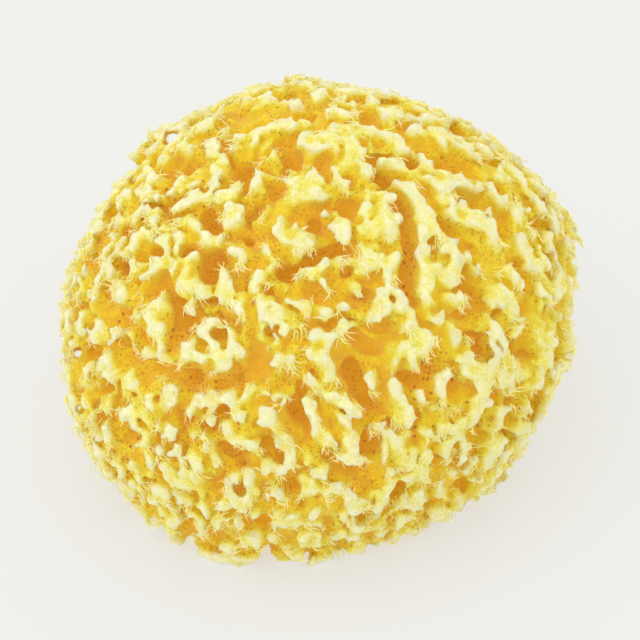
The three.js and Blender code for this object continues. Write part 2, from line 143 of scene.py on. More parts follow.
# Crests of the seen side, torn walls that stand between the hollows, read in pixels: [from
# the left, from the top, half of the length, half of the width, turn in degrees]
SEEN_CRESTS = [
    # the top edge
    [255, 84, 20, 3, 10], [317, 93, 14, 9, -80], [287, 103, 8, 5, 10], [362, 88, 20, 5, -5],
    [345, 100, 14, 7, -60], [385, 106, 20, 6, -66], [426, 113, 24, 4, 22], [213, 103, 16, 4, -5],
    [258, 101, 24, 4, 0], [165, 123, 13, 4, 35], [190, 120, 12, 5, -10],
    # the crown
    [262, 128, 28, 5, 12], [291, 121, 12, 3, -10], [338, 129, 18, 7, -5], [369, 121, 16, 6, -30],
    [401, 136, 14, 6, -55], [437, 131, 22, 4, 15], [466, 143, 20, 5, -45], [225, 128, 7, 4, 70],
    [134, 146, 8, 5, 40], [151, 145, 5, 2, -20], [180, 149, 14, 4, 15], [207, 141, 4, 2, 25],
    [245, 141, 14, 4, -15], [350, 147, 16, 7, -60], [386, 144, 16, 5, -55], [411, 158, 20, 4, -28],
    [442, 161, 26, 4, -50], [318, 140, 20, 7, -35],
    # the upper left
    [124, 168, 10, 6, 30], [127, 192, 9, 5, 5], [150, 176, 13, 5, 45], [183, 178, 9, 8, -60],
    [205, 183, 5, 4, 0], [210, 161, 16, 5, -50], [266, 148, 11, 5, 50], [250, 171, 11, 4, 0],
    [248, 183, 8, 3, 70], [282, 173, 5, 2, -20], [101, 210, 13, 5, 35], [136, 211, 9, 4, 40],
    [150, 227, 8, 4, -50], [183, 223, 14, 8, -10], [231, 210, 11, 5, 10], [233, 249, 14, 5, -60],
    [151, 243, 10, 4, -75], [144, 265, 10, 3, -85], [164, 274, 10, 3, 75], [92, 228, 8, 4, 50],
    [85, 245, 5, 3, 80], [126, 195, 9, 4, -5],
    # the star ridge and the long valley's sides
    [300, 183, 18, 6, 30], [336, 174, 14, 5, -80], [364, 193, 26, 5, -28], [363, 155, 18, 4, -70],
    [293, 231, 19, 6, -48], [301, 240, 9, 6, 60], [260, 212, 5, 3, 80], [338, 227, 18, 4, -68],
    [370, 226, 20, 12, -40], [390, 267, 16, 8, -75], [366, 252, 14, 8, -60], [318, 263, 22, 5, 10],
    [325, 279, 8, 3, -60], [418, 210, 28, 7, -88], [424, 167, 9, 5, -15], [417, 183, 10, 6, 20],
    [427, 255, 14, 6, -55], [432, 225, 14, 5, -65], [357, 263, 8, 5, -55],
    # the left face
    [185, 283, 24, 5, 88], [196, 286, 8, 4, -50], [220, 286, 18, 5, -68], [235, 306, 8, 3, -60],
    [116, 295, 12, 8, -20], [128, 315, 8, 3, -80], [149, 322, 23, 4, -88], [151, 304, 7, 4, 20],
    [73, 324, 13, 5, 45], [93, 337, 13, 5, 30], [119, 342, 13, 5, -30], [207, 331, 17, 5, -88],
    [229, 340, 16, 4, -58], [187, 351, 14, 5, 52], [148, 359, 13, 5, 0], [103, 368, 12, 7, 20],
    [211, 365, 13, 5, 65], [243, 258, 12, 4, -85], [264, 276, 20, 5, 75], [277, 283, 9, 3, 10],
    [268, 305, 9, 4, -50], [297, 305, 11, 3, -55], [270, 250, 8, 3, -40], [74, 290, 12, 4, 80],
    # the middle
    [286, 321, 16, 7, -40], [324, 314, 14, 5, -50], [340, 331, 16, 6, -40], [360, 342, 12, 5, -20],
    [373, 302, 16, 6, 80], [320, 345, 12, 6, -50], [275, 349, 18, 7, -70], [287, 362, 10, 3, -30],
    [323, 370, 20, 7, -60], [309, 387, 9, 3, -60], [345, 402, 14, 5, -25], [253, 402, 20, 6, 30],
    [226, 402, 8, 3, -40], [287, 403, 9, 2, 15], [315, 410, 7, 2, -60], [405, 312, 20, 8, -72],
    [395, 358, 16, 6, 70], [374, 384, 11, 4, -80], [397, 405, 24, 7, -85],
    # the right face
    [446, 256, 30, 7, -40], [470, 262, 20, 4, -35], [437, 305, 32, 8, -80], [461, 298, 10, 4, -50],
    [506, 303, 24, 11, -45], [495, 340, 20, 7, -62], [460, 342, 22, 8, -70], [483, 372, 22, 8, -50],
    [418, 330, 26, 7, -62], [416, 361, 12, 5, -70], [451, 388, 12, 4, 70], [482, 222, 32, 9, -15],
    [528, 215, 22, 7, -40], [534, 255, 24, 8, -55], [560, 255, 24, 7, -70], [548, 296, 14, 6, -20],
    [550, 325, 26, 11, -85], [523, 347, 20, 11, -60], [508, 373, 22, 11, -70],
    [545, 372, 22, 7, -85], [446, 182, 16, 6, -60], [469, 178, 12, 7, -40], [500, 190, 14, 6, -30],
    [566, 290, 18, 5, -85],
    # the lower left
    [114, 377, 6, 4, 0], [102, 390, 9, 4, -80], [128, 390, 7, 4, 30], [125, 409, 11, 4, 80],
    [99, 410, 8, 5, 10], [165, 400, 9, 5, 65], [187, 411, 13, 4, 55], [206, 404, 5, 4, 80],
    [145, 408, 4, 3, 0], [202, 422, 4, 3, 0], [161, 434, 9, 5, -50], [134, 436, 13, 5, 55],
    [140, 444, 8, 3, -85], [190, 441, 9, 3, 50], [208, 453, 12, 4, -75], [174, 457, 7, 5, -60],
    [143, 465, 11, 3, 75], [155, 455, 5, 3, -70], [163, 476, 9, 5, -55], [194, 466, 9, 4, -60],
    [119, 476, 7, 3, -75], [133, 493, 7, 3, -40], [156, 492, 9, 5, -50], [175, 499, 9, 5, -70],
    [192, 506, 10, 5, 55], [76, 391, 11, 4, -80], [85, 423, 9, 4, 80], [97, 457, 14, 5, -50],
    [110, 465, 8, 4, -60],
    # the lower middle
    [229, 436, 10, 4, -60], [272, 430, 24, 6, -55], [251, 453, 10, 4, -10], [275, 457, 8, 3, 80],
    [270, 476, 12, 4, -60], [291, 462, 16, 5, -65], [325, 438, 14, 5, -65], [338, 460, 6, 3, -45],
    [349, 440, 24, 5, -72], [378, 431, 9, 3, 85], [382, 463, 18, 4, -75], [399, 455, 22, 8, -75],
    [320, 473, 16, 8, -50], [244, 490, 18, 6, 78], [227, 484, 8, 3, 85], [271, 494, 16, 4, -58],
    [307, 498, 14, 4, 75], [320, 498, 7, 3, -60], [328, 508, 6, 4, 0], [350, 502, 20, 7, -55],
    [385, 495, 14, 4, -85], [402, 493, 18, 7, -80], [219, 505, 7, 4, 30], [236, 501, 8, 4, 80],
    [223, 486, 9, 3, 88],
    # the skirt
    [186, 526, 12, 7, -60], [232, 526, 8, 4, -75], [251, 522, 12, 3, 75], [282, 525, 8, 3, -75],
    [299, 525, 12, 4, -50], [320, 532, 10, 3, -50], [339, 522, 8, 5, -60], [366, 524, 16, 7, -80],
    [382, 517, 6, 4, 0], [411, 523, 9, 4, -50], [419, 503, 13, 7, -55], [441, 518, 9, 4, 20],
    # the lower right
    [398, 416, 10, 5, -80], [421, 399, 10, 3, -60], [439, 419, 16, 5, -65], [450, 401, 9, 5, -85],
    [423, 426, 16, 3, -65], [444, 450, 10, 6, -30], [458, 433, 10, 5, 60], [470, 441, 10, 4, -55],
    [482, 412, 22, 7, -72], [510, 396, 9, 6, -10], [522, 416, 10, 6, -30], [404, 455, 14, 6, 80],
    [424, 473, 20, 8, -75], [406, 488, 10, 6, -75], [423, 454, 5, 2, 10], [446, 483, 10, 3, 5],
    [455, 459, 10, 4, 20], [474, 468, 12, 7, -50], [499, 455, 18, 9, -60], [484, 482, 12, 6, -40],
    [466, 502, 8, 4, 85], [505, 419, 16, 8, -75], [525, 434, 8, 5, -50],
]

# Holes near the outline that the light comes through, in pixels: [from the left, from the top,
# half of the width]
SEEN_HOLES = [[171, 137, 7], [77, 353, 6.5], [79, 408, 5], [99, 437, 5], [107, 197, 5.5]]

# The pits of the other sides, as in the part: rounds of [radius, its stray, wall to the next pit]
FILL_TRIES = 2400
FILL_STRIDE = 997
FILL_JITTER = 0.035
FILL_ROUNDS = [(3.6, 0.9, 4.2), (2.6, 0.4, 5.8)]
LOWEST_PIT = -5.0

# Small pits between the others, only here
SMALL_TRIES = 1100
SMALL_ROUND = (0.9, 0.35, 1.6)

# How deep the pits of the other sides are: [at least, for each millimetre of radius, stray]
FILL_DEPTH = (4.0, 2.6, 3.0)
SMALL_DEPTH = (2.0, 2.0, 4.0)

# Bowls: each pit's canal opens in the floor of a round bowl, as wide as the pits round it leave it
BOWL_SHARE = 0.55
BOWL_STEADY = 0.85
BOWL_STRAY = 0.35
BOWL_NEIGHBOURS = 5
BOWL_LEAST = 1.0
BOWL_MOST = 4.5
FAR_BOWL_SHARE = 0.8
SMALL_BOWL_RIM = 0.6
BOWL_DEPTH = 1.2
BOWL_DEPTH_SHARE = 0.75
PIT_NARROWING = 0.12

# Crests of the other sides, most of them hanging down like the seen ones
CREST_TRIES = 4200
CREST_WIDTH = (1.0, 1.9)
CREST_LENGTH = (0.6, 4.2)
CREST_LEAN = 50.0
CREST_GAP = 1.7
CREST_END_GAP = 0.35
CREST_PIT_GAP = 0.4

# The form of every crest: a wall that tapers to its ends and flares towards its foot
CREST_SPARE = 0.1
CREST_LONGER = 0.25
CREST_TAPER = 0.5
CREST_FLARE = 0.36
CREST_FLARE_DEPTH = 6.0
CREST_DROP = 1.1
CREST_ROUND = 0.8
CREST_FOOT = 7.0
CREST_HEAD = 2.0

# Breaks in the crests: how deep they cut, the noise that starts one, and the most that counts
BREAK_DEPTH = 1.7
BREAK_START = 0.6
BREAK_MOST = 1.2

# Canals in the cut face, as in the part
CANAL_SPACING = 14.0
CANAL_REACH = 38.0
CANAL_RADIUS = 3.0
CANAL_SPREAD = 1.6
CANAL_DEPTH = 12.0
CANAL_TAPER = 0.6
CANAL_STRAY = 3.0

# Noise that bends the pits and crests, and noise that tears their surfaces: [share, run, seed]
WARP_NOISE = [(1.0, 6.5, 11), (0.35, 2.4, 21)]
TORN_NOISE = [(0.75, (1.1, 1.1, 2.4), 33), (0.65, (2.0, 2.0, 3.8), 34), (0.4, (3.6, 3.6, 6.0), 35)]
TORN_FADE = 4.0
STILL_WARP = 0.4
SUNK_NOISE = (0.25, 6.0, 31)
PEAK_NOISE = (0.25, 1.3, 32)
GROOVE_NOISE = (0.5, 2.6, 36)
BREAK_NOISE = (1.0, 3.4, 37)

# How softly the carved surfaces meet: crests under the lump's outer form, floors with bowls,
# crests with floors, and the skeleton with the mouths of its canals
TOP_ROUND = 0.6
FLOOR_ROUND = 0.8
FOOT_ROUND = 0.8
MOUTH_ROUND = 0.3

# How far the tops lie below the outer form, and how much wider and how torn the mouths are
TOP_DROP = 0.15
MOUTH_WIDER = 0.1
MOUTH_TORN = 0.35
BOWL_TORN = 0.5

# Room round the lump on the grid, and round one crest, pit or canal
BOX_SPARE = 3.0
CREST_ROOM = 3.0
PIT_ROOM = 2.5
LINE_ROOM = 2.0


def chance(number, use):
    """A repeatable number from 0 to 1 for each whole number and use."""
    turned = math.sin(number * 12.9898 + use * 78.233) * 43758.5453
    return turned - math.floor(turned)


def wave(points, run):
    """A smooth wave over space, from about -1 to 1."""
    x, y, z = (points / run).T
    return (np.sin(x + 1.3 * z + 0.4) * np.sin(y - 0.7 * x + 1.7)
            + np.sin(z + 0.8 * y + 2.9) * np.cos(x - 0.5 * y)) / 1.6


def unit(vectors):
    """The vectors at length 1."""
    return vectors / np.maximum(np.linalg.norm(vectors, axis=-1, keepdims=True), 1e-12)


def swelling_axis(bearing, towards):
    """The direction of a swelling from its bearing in the view and its tilt towards the viewer."""
    bearing, towards = math.radians(bearing), math.radians(towards)
    across = RIGHT * math.cos(bearing) + UPWARD * math.sin(bearing)
    return across * math.cos(towards) + NEAR * math.sin(towards)


def lump_radius(directions):
    """Distance from the heart to the lump's outer form, for unit directions."""
    plain = (np.abs(directions @ LONG_AXIS / LONG_HALF) ** FULLNESS
             + np.abs(directions @ SHORT_AXIS / SHORT_HALF) ** FULLNESS
             + np.abs(directions @ NEAR / DEEP_HALF) ** FULLNESS) ** (-1 / FULLNESS)
    swollen = plain + SWELL * wave(directions * plain[:, None], SWELL_RUN)
    for bearing, towards, height, breadth in SWELLINGS:
        angle = np.arccos(np.clip(directions @ swelling_axis(bearing, towards), -1, 1))
        swollen += height * np.exp(-((angle / math.radians(breadth)) ** 2))
    return swollen


def from_pixel(x, y):
    """How far right of the heart and above it a pixel of the photograph lies."""
    return (x - HEART_PIXEL[0]) / PIXELS_PER_MM, (HEART_PIXEL[1] - y) / PIXELS_PER_MM


def seen_direction(right, above):
    """The direction from the heart to the point that a sight line meets first."""
    eye = NEAR * SEEN_DISTANCE
    sight = unit(RIGHT * right + UPWARD * above - eye)
    nearest = -eye @ sight
    along = np.arange(nearest - 1.3 * LONG_HALF, nearest, 0.5)
    points = eye + along[:, None] * sight
    inside = np.linalg.norm(points, axis=1) < lump_radius(unit(points))
    return unit(points[np.argmax(inside)] if inside.any() else eye + nearest * sight)


def even_direction(n, count, jitter):
    """The n-th of count directions spread evenly over a sphere."""
    turn = n * math.pi * (3 - math.sqrt(5)) + jitter * (chance(n, 1) - 0.5) * 2
    lift = math.asin(1 - (2 * n + 1) / count) + jitter * (chance(n, 2) - 0.5) * 2
    return np.array([math.cos(lift) * math.cos(turn), math.cos(lift) * math.sin(turn),
                     math.sin(lift)])


class Spots:
    """Places on the lump, all of them pits or all of them crests, as arrays that grow together."""

    def __init__(self):
        self.direction = np.zeros((0, 3))
        self.radius = np.zeros(0)
        self.depth = np.zeros(0)
        self.stretch = np.zeros(0)
        self.long = np.zeros((0, 3))
        self.reach = np.zeros(0)

    def add(self, direction, radius, depth, stretch=0.0, turn=0.0):
        """Adds one spot: half of its width, its depth, what it is stretched by, and its turn."""
        turn = math.radians(turn)
        long = RIGHT * math.cos(turn) + UPWARD * math.sin(turn)
        long = unit(long - (long @ direction) * direction)
        reach = lump_radius(direction[None])[0]
        self.direction = np.vstack([self.direction, direction])
        self.radius = np.append(self.radius, radius)
        self.depth = np.append(self.depth, depth)
        self.stretch = np.append(self.stretch, stretch)
        self.long = np.vstack([self.long, long])
        self.reach = np.append(self.reach, reach)

    def rim_gaps(self, direction):
        """Distance over the skin from each spot's rim to a direction, less than 0 inside it."""
        away = np.arccos(np.clip(self.direction @ direction, -1, 1)) * self.reach
        along = self.long @ direction
        across = np.cross(self.direction, self.long) @ direction
        scale = away / np.maximum(np.hypot(along, across), 1e-9)
        beyond = np.maximum(np.abs(along) * scale - self.stretch, 0)
        return np.hypot(beyond, across * scale) - self.radius

    def fill(self, tries, radius, stray, wall, depth, use):
        """Adds pits in the places that are left, each clear of the others by a wall."""
        least, for_radius, depth_stray = depth
        for n in range(tries):
            place = (n * FILL_STRIDE) % tries
            direction = even_direction(place, tries, FILL_JITTER)
            own = radius + stray * (chance(place, 3) - 0.5) * 2
            mouth = HEART[2] + direction[2] * lump_radius(direction[None])[0]
            if mouth > LOWEST_PIT and (self.rim_gaps(direction) > own + wall).all():
                own_depth = least + for_radius * own + depth_stray * chance(place, use)
                self.add(direction, own, own_depth)


def grow_crests(pits, large):
    """All crests: the seen ones, then others in the places that they and the pits leave."""
    crests = Spots()
    for x, y, half_length, half_width, turn in SEEN_CRESTS:
        stretch = max(half_length - half_width, 0) / PIXELS_PER_MM
        crests.add(seen_direction(*from_pixel(x, y)), half_width / PIXELS_PER_MM, 0.0, stretch,
                   turn)
    for n in range(CREST_TRIES):
        place = (n * FILL_STRIDE) % CREST_TRIES
        direction = even_direction(place, CREST_TRIES, FILL_JITTER)
        own = between(CREST_WIDTH, chance(place, 11))
        stretch = between(CREST_LENGTH, chance(place, 12))
        down = down_over(direction[None])[0]
        turn = math.degrees(math.atan2(down @ UPWARD, down @ RIGHT))
        turn += CREST_LEAN * 2 * (chance(place, 13) - 0.5)
        if HEART[2] + direction[2] * LONG_HALF < LOWEST_PIT:
            continue
        if (crests.rim_gaps(direction) < own + CREST_GAP + CREST_END_GAP * stretch).any():
            continue
        if (pits.rim_gaps(direction)[:large] > CREST_PIT_GAP * own).all():
            crests.add(direction, own, 0.0, stretch, turn)
    return crests


def between(ends, share):
    """The number at a share of the way between two ends."""
    return ends[0] + (ends[1] - ends[0]) * share


def grow_pits():
    """All pits, the seen ones, the other sides' and the small ones, and how many are large."""
    pits = Spots()
    for x, y, width, depth, *long in SEEN_PITS:
        stretch, turn = long or (0, 0)
        pits.add(seen_direction(*from_pixel(x, y)), width / 2 / PIXELS_PER_MM, depth,
                 stretch / PIXELS_PER_MM, turn)
    for size in FILL_ROUNDS:
        pits.fill(FILL_TRIES, *size, FILL_DEPTH, 4)
    large = len(pits.radius)
    pits.fill(SMALL_TRIES, *SMALL_ROUND, SMALL_DEPTH, 5)
    return pits, large


class Grid:
    """A box of points, evenly spaced, that fields of numbers are held on."""

    def __init__(self, low, high, step):
        self.step = step
        self.counts = np.ceil((high - low) / step).astype(int) + 1
        self.low = low
        self.axes = [low[k] + step * np.arange(self.counts[k]) for k in range(3)]

    def around(self, start, end, room, middle, warp):
        """The slices that hold a line with room round it, and the warped arms from a middle."""
        low, high = np.minimum(start, end) - room, np.maximum(start, end) + room
        first = np.clip(np.floor((low - self.low) / self.step).astype(int), 0, self.counts)
        last = np.clip(np.ceil((high - self.low) / self.step).astype(int) + 1, 0, self.counts)
        slices = tuple(slice(a, b) for a, b in zip(first, last))
        x, y, z = (self.axes[k][slices[k]].astype(np.float32) - middle[k] for k in range(3))
        arms = (x[:, None, None] + warp[0][slices], y[None, :, None] + warp[1][slices],
                z[None, None, :] + warp[2][slices])
        return slices, arms

    def noise(self, runs, seed):
        """Smooth random numbers whose bumps are about runs long, each axis a cubic B-spline."""
        rng = np.random.default_rng(seed)
        runs = np.broadcast_to(runs, 3)
        knots = [int(count * self.step / run) + 4 for count, run in zip(self.counts, runs)]
        field = rng.standard_normal(knots).astype(np.float32)
        for axis, count in enumerate(self.counts):
            place = np.arange(count) * self.step / runs[axis]
            before = np.floor(place).astype(int)
            f = (place - before).astype(np.float32)
            shares = [(1 - f) ** 3, 3 * f ** 3 - 6 * f ** 2 + 4, -3 * f ** 3 + 3 * f ** 2 + 3 * f + 1,
                      f ** 3]
            field = spread(field, axis, before, shares)
        return field / field.std()

    def bumps(self, share, runs, seed):
        """Noise at a share of its height."""
        return share * self.noise(runs, seed)

    def coarse(self, function, factor):
        """A smooth function of points, worked out on every factor-th point and filled in."""
        counts = [int(math.ceil((count - 1) / factor)) + 1 for count in self.counts]
        axes = [self.low[k] + self.step * factor * np.arange(counts[k]) for k in range(3)]
        points = np.stack(np.meshgrid(*axes, indexing="ij"), -1).reshape(-1, 3)
        field = function(points).reshape(counts).astype(np.float32)
        for axis, count in enumerate(self.counts):
            place = np.arange(count) / factor
            before = np.minimum(np.floor(place).astype(int), counts[axis] - 2)
            beyond = (place - before).astype(np.float32)
            field = spread(field, axis, before, [1 - beyond, beyond])
        return field


def part_along(arms, way):
    """How far arms, given as one array for each axis, reach along a way."""
    return arms[0] * way[0] + arms[1] * way[1] + arms[2] * way[2]


def spread(field, axis, first, shares):
    """A field stretched along one axis: each new point is a weighted sum of its neighbours."""
    shape = [1, 1, 1]
    shape[axis] = -1
    return sum(np.take(field, first + k, axis) * share.reshape(shape)
               for k, share in enumerate(shares))


def blurred(field, reach):
    """The mean of a field over a cube of 2 * reach + 1 points each way."""
    for axis in range(3):
        padded = np.concatenate([np.repeat(np.take(field, [0], axis), reach + 1, axis), field,
                                 np.repeat(np.take(field, [-1], axis), reach, axis)], axis)
        total = np.cumsum(padded, axis, dtype=np.float64)
        span = 2 * reach + 1
        length = field.shape[axis]
        field = (np.take(total, range(span, span + length), axis)
                 - np.take(total, range(0, length), axis)) / span
        field = field.astype(np.float32)
    return field


def soft_least(a, b, round_by):
    """The lesser of two fields, rounded where they meet."""
    mix = np.clip(0.5 + 0.5 * (b - a) / round_by, 0, 1)
    return b * (1 - mix) + a * mix - round_by * mix * (1 - mix)


def bowl_radii(pits, large):
    """How wide each pit's bowl is: for a large one, from the gaps to the pits round it."""
    middles = pits.direction * pits.reach[:, None]
    radii = np.zeros(len(pits.radius))
    most = np.where(np.arange(len(radii)) < len(SEEN_PITS), BOWL_MOST, FAR_BOWL_SHARE * BOWL_MOST)
    for n in range(large):
        apart = np.linalg.norm(middles[:large] - middles[n], axis=1)
        gaps = apart - pits.radius[:large] - pits.radius[n] - pits.stretch[:large]
        gaps = np.sort(gaps[apart > 1e-6])[:BOWL_NEIGHBOURS]
        share = BOWL_SHARE * np.median(gaps) * (BOWL_STEADY + BOWL_STRAY * chance(n, 8))
        radii[n] = pits.radius[n] + np.clip(share, BOWL_LEAST, most[n])
    radii[large:] = pits.radius[large:] + SMALL_BOWL_RIM
    return radii


def raise_crest(walls, grid, warp, depth, crests, n):
    """Adds one crest: a wall that narrows towards its ends and grows wider as it goes down."""
    axis, reach, half_width = crests.direction[n], crests.reach[n], crests.radius[n]
    low, high = HEART + axis * (reach - CREST_FOOT), HEART + axis * (reach + CREST_HEAD)
    room = half_width + crests.stretch[n] + CREST_ROOM
    slices, arms = grid.around(low, high, room, HEART, warp)
    u = part_along(arms, crests.long[n])
    v = part_along(arms, np.cross(axis, crests.long[n]))
    beyond = np.maximum(np.abs(u) - crests.stretch[n] - CREST_LONGER * half_width, 0)
    away = np.hypot(beyond, v)
    share = np.clip(np.abs(u) / (crests.stretch[n] + half_width), 0, 1.2)
    narrowed = half_width * (1 - CREST_TAPER * share ** 2)
    below = depth[slices]
    flare = CREST_FLARE * np.clip(below, 0, CREST_FLARE_DEPTH)
    wall = narrowed + CREST_SPARE + flare - away
    top = below - CREST_DROP * chance(n, 9) ** 2
    wall = np.where(part_along(arms, axis) > 0, soft_least(wall, top, CREST_ROUND), -99)
    walls[slices] = np.maximum(walls[slices], wall)


def carve_pit(bowls, void, grid, warp, pits, bowl, n):
    """Takes one pit out: a round bowl, and the narrower canal that opens in its floor."""
    axis, reach, radius, depth = pits.direction[n], pits.reach[n], pits.radius[n], pits.depth[n]
    room = bowl + pits.stretch[n] + PIT_ROOM
    slices, arms = grid.around(HEART + axis * reach, HEART + axis * (reach - depth), room, HEART,
                               warp)
    height = part_along(arms, axis)
    u = part_along(arms, pits.long[n])
    v = part_along(arms, np.cross(axis, pits.long[n]))
    away = np.hypot(np.maximum(np.abs(u) - pits.stretch[n], 0), v)
    bowl_depth = min(BOWL_DEPTH * bowl, BOWL_DEPTH_SHARE * depth)
    ball = (bowl ** 2 + bowl_depth ** 2) / (2 * bowl_depth)
    inside_bowl = np.hypot(away, height - (reach - bowl_depth + ball)) - ball
    below = np.maximum(reach - depth + radius - height, 0)
    narrowing = PIT_NARROWING * np.clip(reach - height, 0, depth) * radius / depth
    inside_canal = np.hypot(away, below) - radius + narrowing
    bowls[slices] = np.minimum(bowls[slices], inside_bowl)
    void[slices] = np.minimum(void[slices], inside_canal)


def carve_line(void, grid, warp, start, end, radius, end_radius):
    """Takes a straight canal out, from one point to another."""
    way = unit(end - start)
    length = np.linalg.norm(end - start)
    slices, arms = grid.around(start, end, max(radius, end_radius) + LINE_ROOM, start, warp)
    gone = np.clip(part_along(arms, way), 0, length)
    away = np.sqrt(sum((arm - gone * way[k]) ** 2 for k, arm in enumerate(arms)))
    cut = away - (radius + (end_radius - radius) * gone / length)
    void[slices] = np.minimum(void[slices], cut)


def carve_holes(void, grid, warp):
    """Takes out the canals that run right through near the outline, along the sight lines."""
    eye = HEART + NEAR * SEEN_DISTANCE
    for x, y, half_width in SEEN_HOLES:
        right, above = from_pixel(x, y)
        radius = half_width / PIXELS_PER_MM
        target = HEART + RIGHT * right + UPWARD * above
        sight = unit(target - eye)
        carve_line(void, grid, warp, target - sight * LONG_HALF, target + sight * LONG_HALF,
                   radius, radius)


def carve_cut_face(void, grid, warp):
    """Takes out the tapered canals in the cut face, on a loose triangular lattice."""
    rows = math.ceil(CANAL_REACH / CANAL_SPACING)
    for row in range(-rows, rows + 1):
        for column in range(-rows, rows + 1):
            number = (row + rows) * 20 + column + rows
            x = (column + math.fmod(row, 2) / 2) * CANAL_SPACING
            x += CANAL_STRAY * (chance(number, 5) - 0.5)
            y = row * CANAL_SPACING * math.sin(math.radians(60))
            y += CANAL_STRAY * (chance(number, 6) - 0.5)
            if math.hypot(x, y) > CANAL_REACH:
                continue
            radius = CANAL_RADIUS + CANAL_SPREAD * chance(number, 7)
            foot = np.array([x + HEART[0], y + HEART[1], -1.0])
            carve_line(void, grid, warp, foot, foot + [0, 0, CANAL_DEPTH + 1], radius,
                       radius * CANAL_TAPER)


def depth_below(points):
    """How far points lie below the lump's outer form."""
    arms = points - HEART
    return lump_radius(unit(arms)) - np.linalg.norm(arms, axis=1)


def skeleton_field(settings):
    """A grid, and the depth below the sponge's surface on it, more than 0 inside the sponge."""
    step = settings.grain / MM
    low, high = (np.array(corner) / MM for corner in cad_box)
    low[2] = -1.5 * step
    low[:2] -= BOX_SPARE
    grid = Grid(low, high + BOX_SPARE, step)
    pits, large = grow_pits()
    crests = grow_crests(pits, large)
    warp = [0.0, 0.0, 0.0]
    for share, run, seed in WARP_NOISE:
        for k in range(3):
            warp[k] = warp[k] + grid.bumps(share * settings.warp / MM, run, seed + k)
    void = np.full(grid.counts, 99.0, np.float32)
    bowls = np.full(grid.counts, 99.0, np.float32)
    for n, bowl in enumerate(bowl_radii(pits, large)):
        if n < large or (crests.rim_gaps(pits.direction[n]) > pits.radius[n]).all():
            carve_pit(bowls, void, grid, warp, pits, bowl, n)
    still = [STILL_WARP * part for part in warp]
    carve_holes(void, grid, still)
    carve_cut_face(void, grid, still)
    depth = grid.coarse(depth_below, 4)
    walls = np.full(grid.counts, -99.0, np.float32)
    for n in range(len(crests.radius)):
        raise_crest(walls, grid, warp, depth, crests, n)
    rough = sum(grid.bumps(*noise) for noise in TORN_NOISE)
    torn = settings.ragged / MM * rough * np.exp(-np.maximum(depth, 0) / TORN_FADE)
    sunk = settings.sunk / MM * (1 + grid.bumps(*SUNK_NOISE))
    peaks = grid.bumps(*PEAK_NOISE) - np.abs(grid.bumps(*GROOVE_NOISE))
    breaks = BREAK_DEPTH * np.clip(grid.bumps(*BREAK_NOISE) - BREAK_START, 0, BREAK_MOST)
    tops = soft_least(walls + torn - breaks, depth - TOP_DROP + peaks, TOP_ROUND)
    floors = soft_least(depth - sunk, bowls + BOWL_TORN * torn, FLOOR_ROUND)
    body = -soft_least(-tops, -floors, FOOT_ROUND)
    solid = soft_least(body, void + MOUTH_TORN * torn - MOUTH_WIDER, MOUTH_ROUND)
    return grid, np.minimum(solid, grid.axes[2][None, None, :].astype(np.float32))


def mesh_of(name, grid, solid, most):
    """The surface of a field as a mesh of triangles, at most so many, in metres.

    It is thinned with its faces turned inward, and they are turned outward at the end.
    """
    level = openvdb.FloatGrid(background=2.0)
    level.copyFromArray(np.clip(-solid, -2, 2), tolerance=0)
    points, triangles, quads = level.convertToPolygons(isovalue=0.0, adaptivity=0.08)
    corners = np.vstack([triangles.reshape(-1, 3), quads[:, [0, 1, 2]], quads[:, [0, 2, 3]]])
    corners = largest_shell(len(points), corners)
    used, corners = np.unique(corners, return_inverse=True)
    corners = corners.reshape(-1, 3)[:, ::-1]
    places = (points[used] * grid.step + grid.low) * MM
    places[:, 2] = np.maximum(places[:, 2], 0)
    mesh = bpy.data.meshes.new(name)
    fill_mesh(mesh, places, corners)
    if len(corners) > most:
        thin_mesh(mesh, most)
    mesh.flip_normals()
    return mesh


def largest_shell(count, corners):
    """The triangles of the largest closed surface, without crumbs and sealed bubbles."""
    label = np.arange(count)
    while True:
        least = label[corners].min(1)
        before = label.copy()
        np.minimum.at(label, corners.ravel(), np.repeat(least, 3))
        label = label[label]
        if (label == before).all():
            break
    own = label[corners[:, 0]]
    shells, sizes = np.unique(own, return_counts=True)
    return corners[own == shells[np.argmax(sizes)]]


def fill_mesh(mesh, places, corners):
    """Puts points and triangles into a mesh."""
    mesh.clear_geometry()
    mesh.vertices.add(len(places))
    mesh.vertices.foreach_set("co", np.asarray(places, np.float32).ravel())
    mesh.loops.add(len(corners) * 3)
    mesh.loops.foreach_set("vertex_index", np.asarray(corners, np.int32).ravel())
    mesh.polygons.add(len(corners))
    mesh.polygons.foreach_set("loop_start", np.arange(0, len(corners) * 3, 3, dtype=np.int32))
    mesh.update()
    mesh.validate()


# Thinning: how much the vertex group counts, and its five steps down from the crests
THIN_CARE = 1e-5
THIN_STEP = 1.5
THIN_STEPS = 5


def thin_mesh(mesh, most):
    """Brings a mesh down to at most so many triangles, the flattest and the deepest first."""
    piece = bpy.data.objects.new("thinned", mesh)
    bpy.context.scene.collection.objects.link(piece)
    modifier = piece.modifiers.new("Decimate", "DECIMATE")
    modifier.ratio = most / len(mesh.polygons)
    depth = depth_below(numbers(mesh.vertices, "co", 3) / MM)
    free = piece.vertex_groups.new(name="free")
    steps = np.clip(np.round(depth / THIN_STEP), 1, THIN_STEPS).astype(int)
    for step in range(1, THIN_STEPS + 1):
        free.add(np.flatnonzero(steps == step).tolist(), 0.75 + step / 20, "REPLACE")
    modifier.vertex_group = free.name
    modifier.vertex_group_factor = THIN_CARE
    seen = piece.evaluated_get(bpy.context.evaluated_depsgraph_get())
    thinned = bpy.data.meshes.new_from_object(seen)
    places = numbers(thinned.vertices, "co", 3)
    corners = numbers(thinned.loops, "vertex_index", 1).astype(np.int32)
    bpy.data.objects.remove(piece)
    fill_mesh(mesh, places, corners.reshape(-1, 3))
    bpy.data.meshes.remove(thinned)


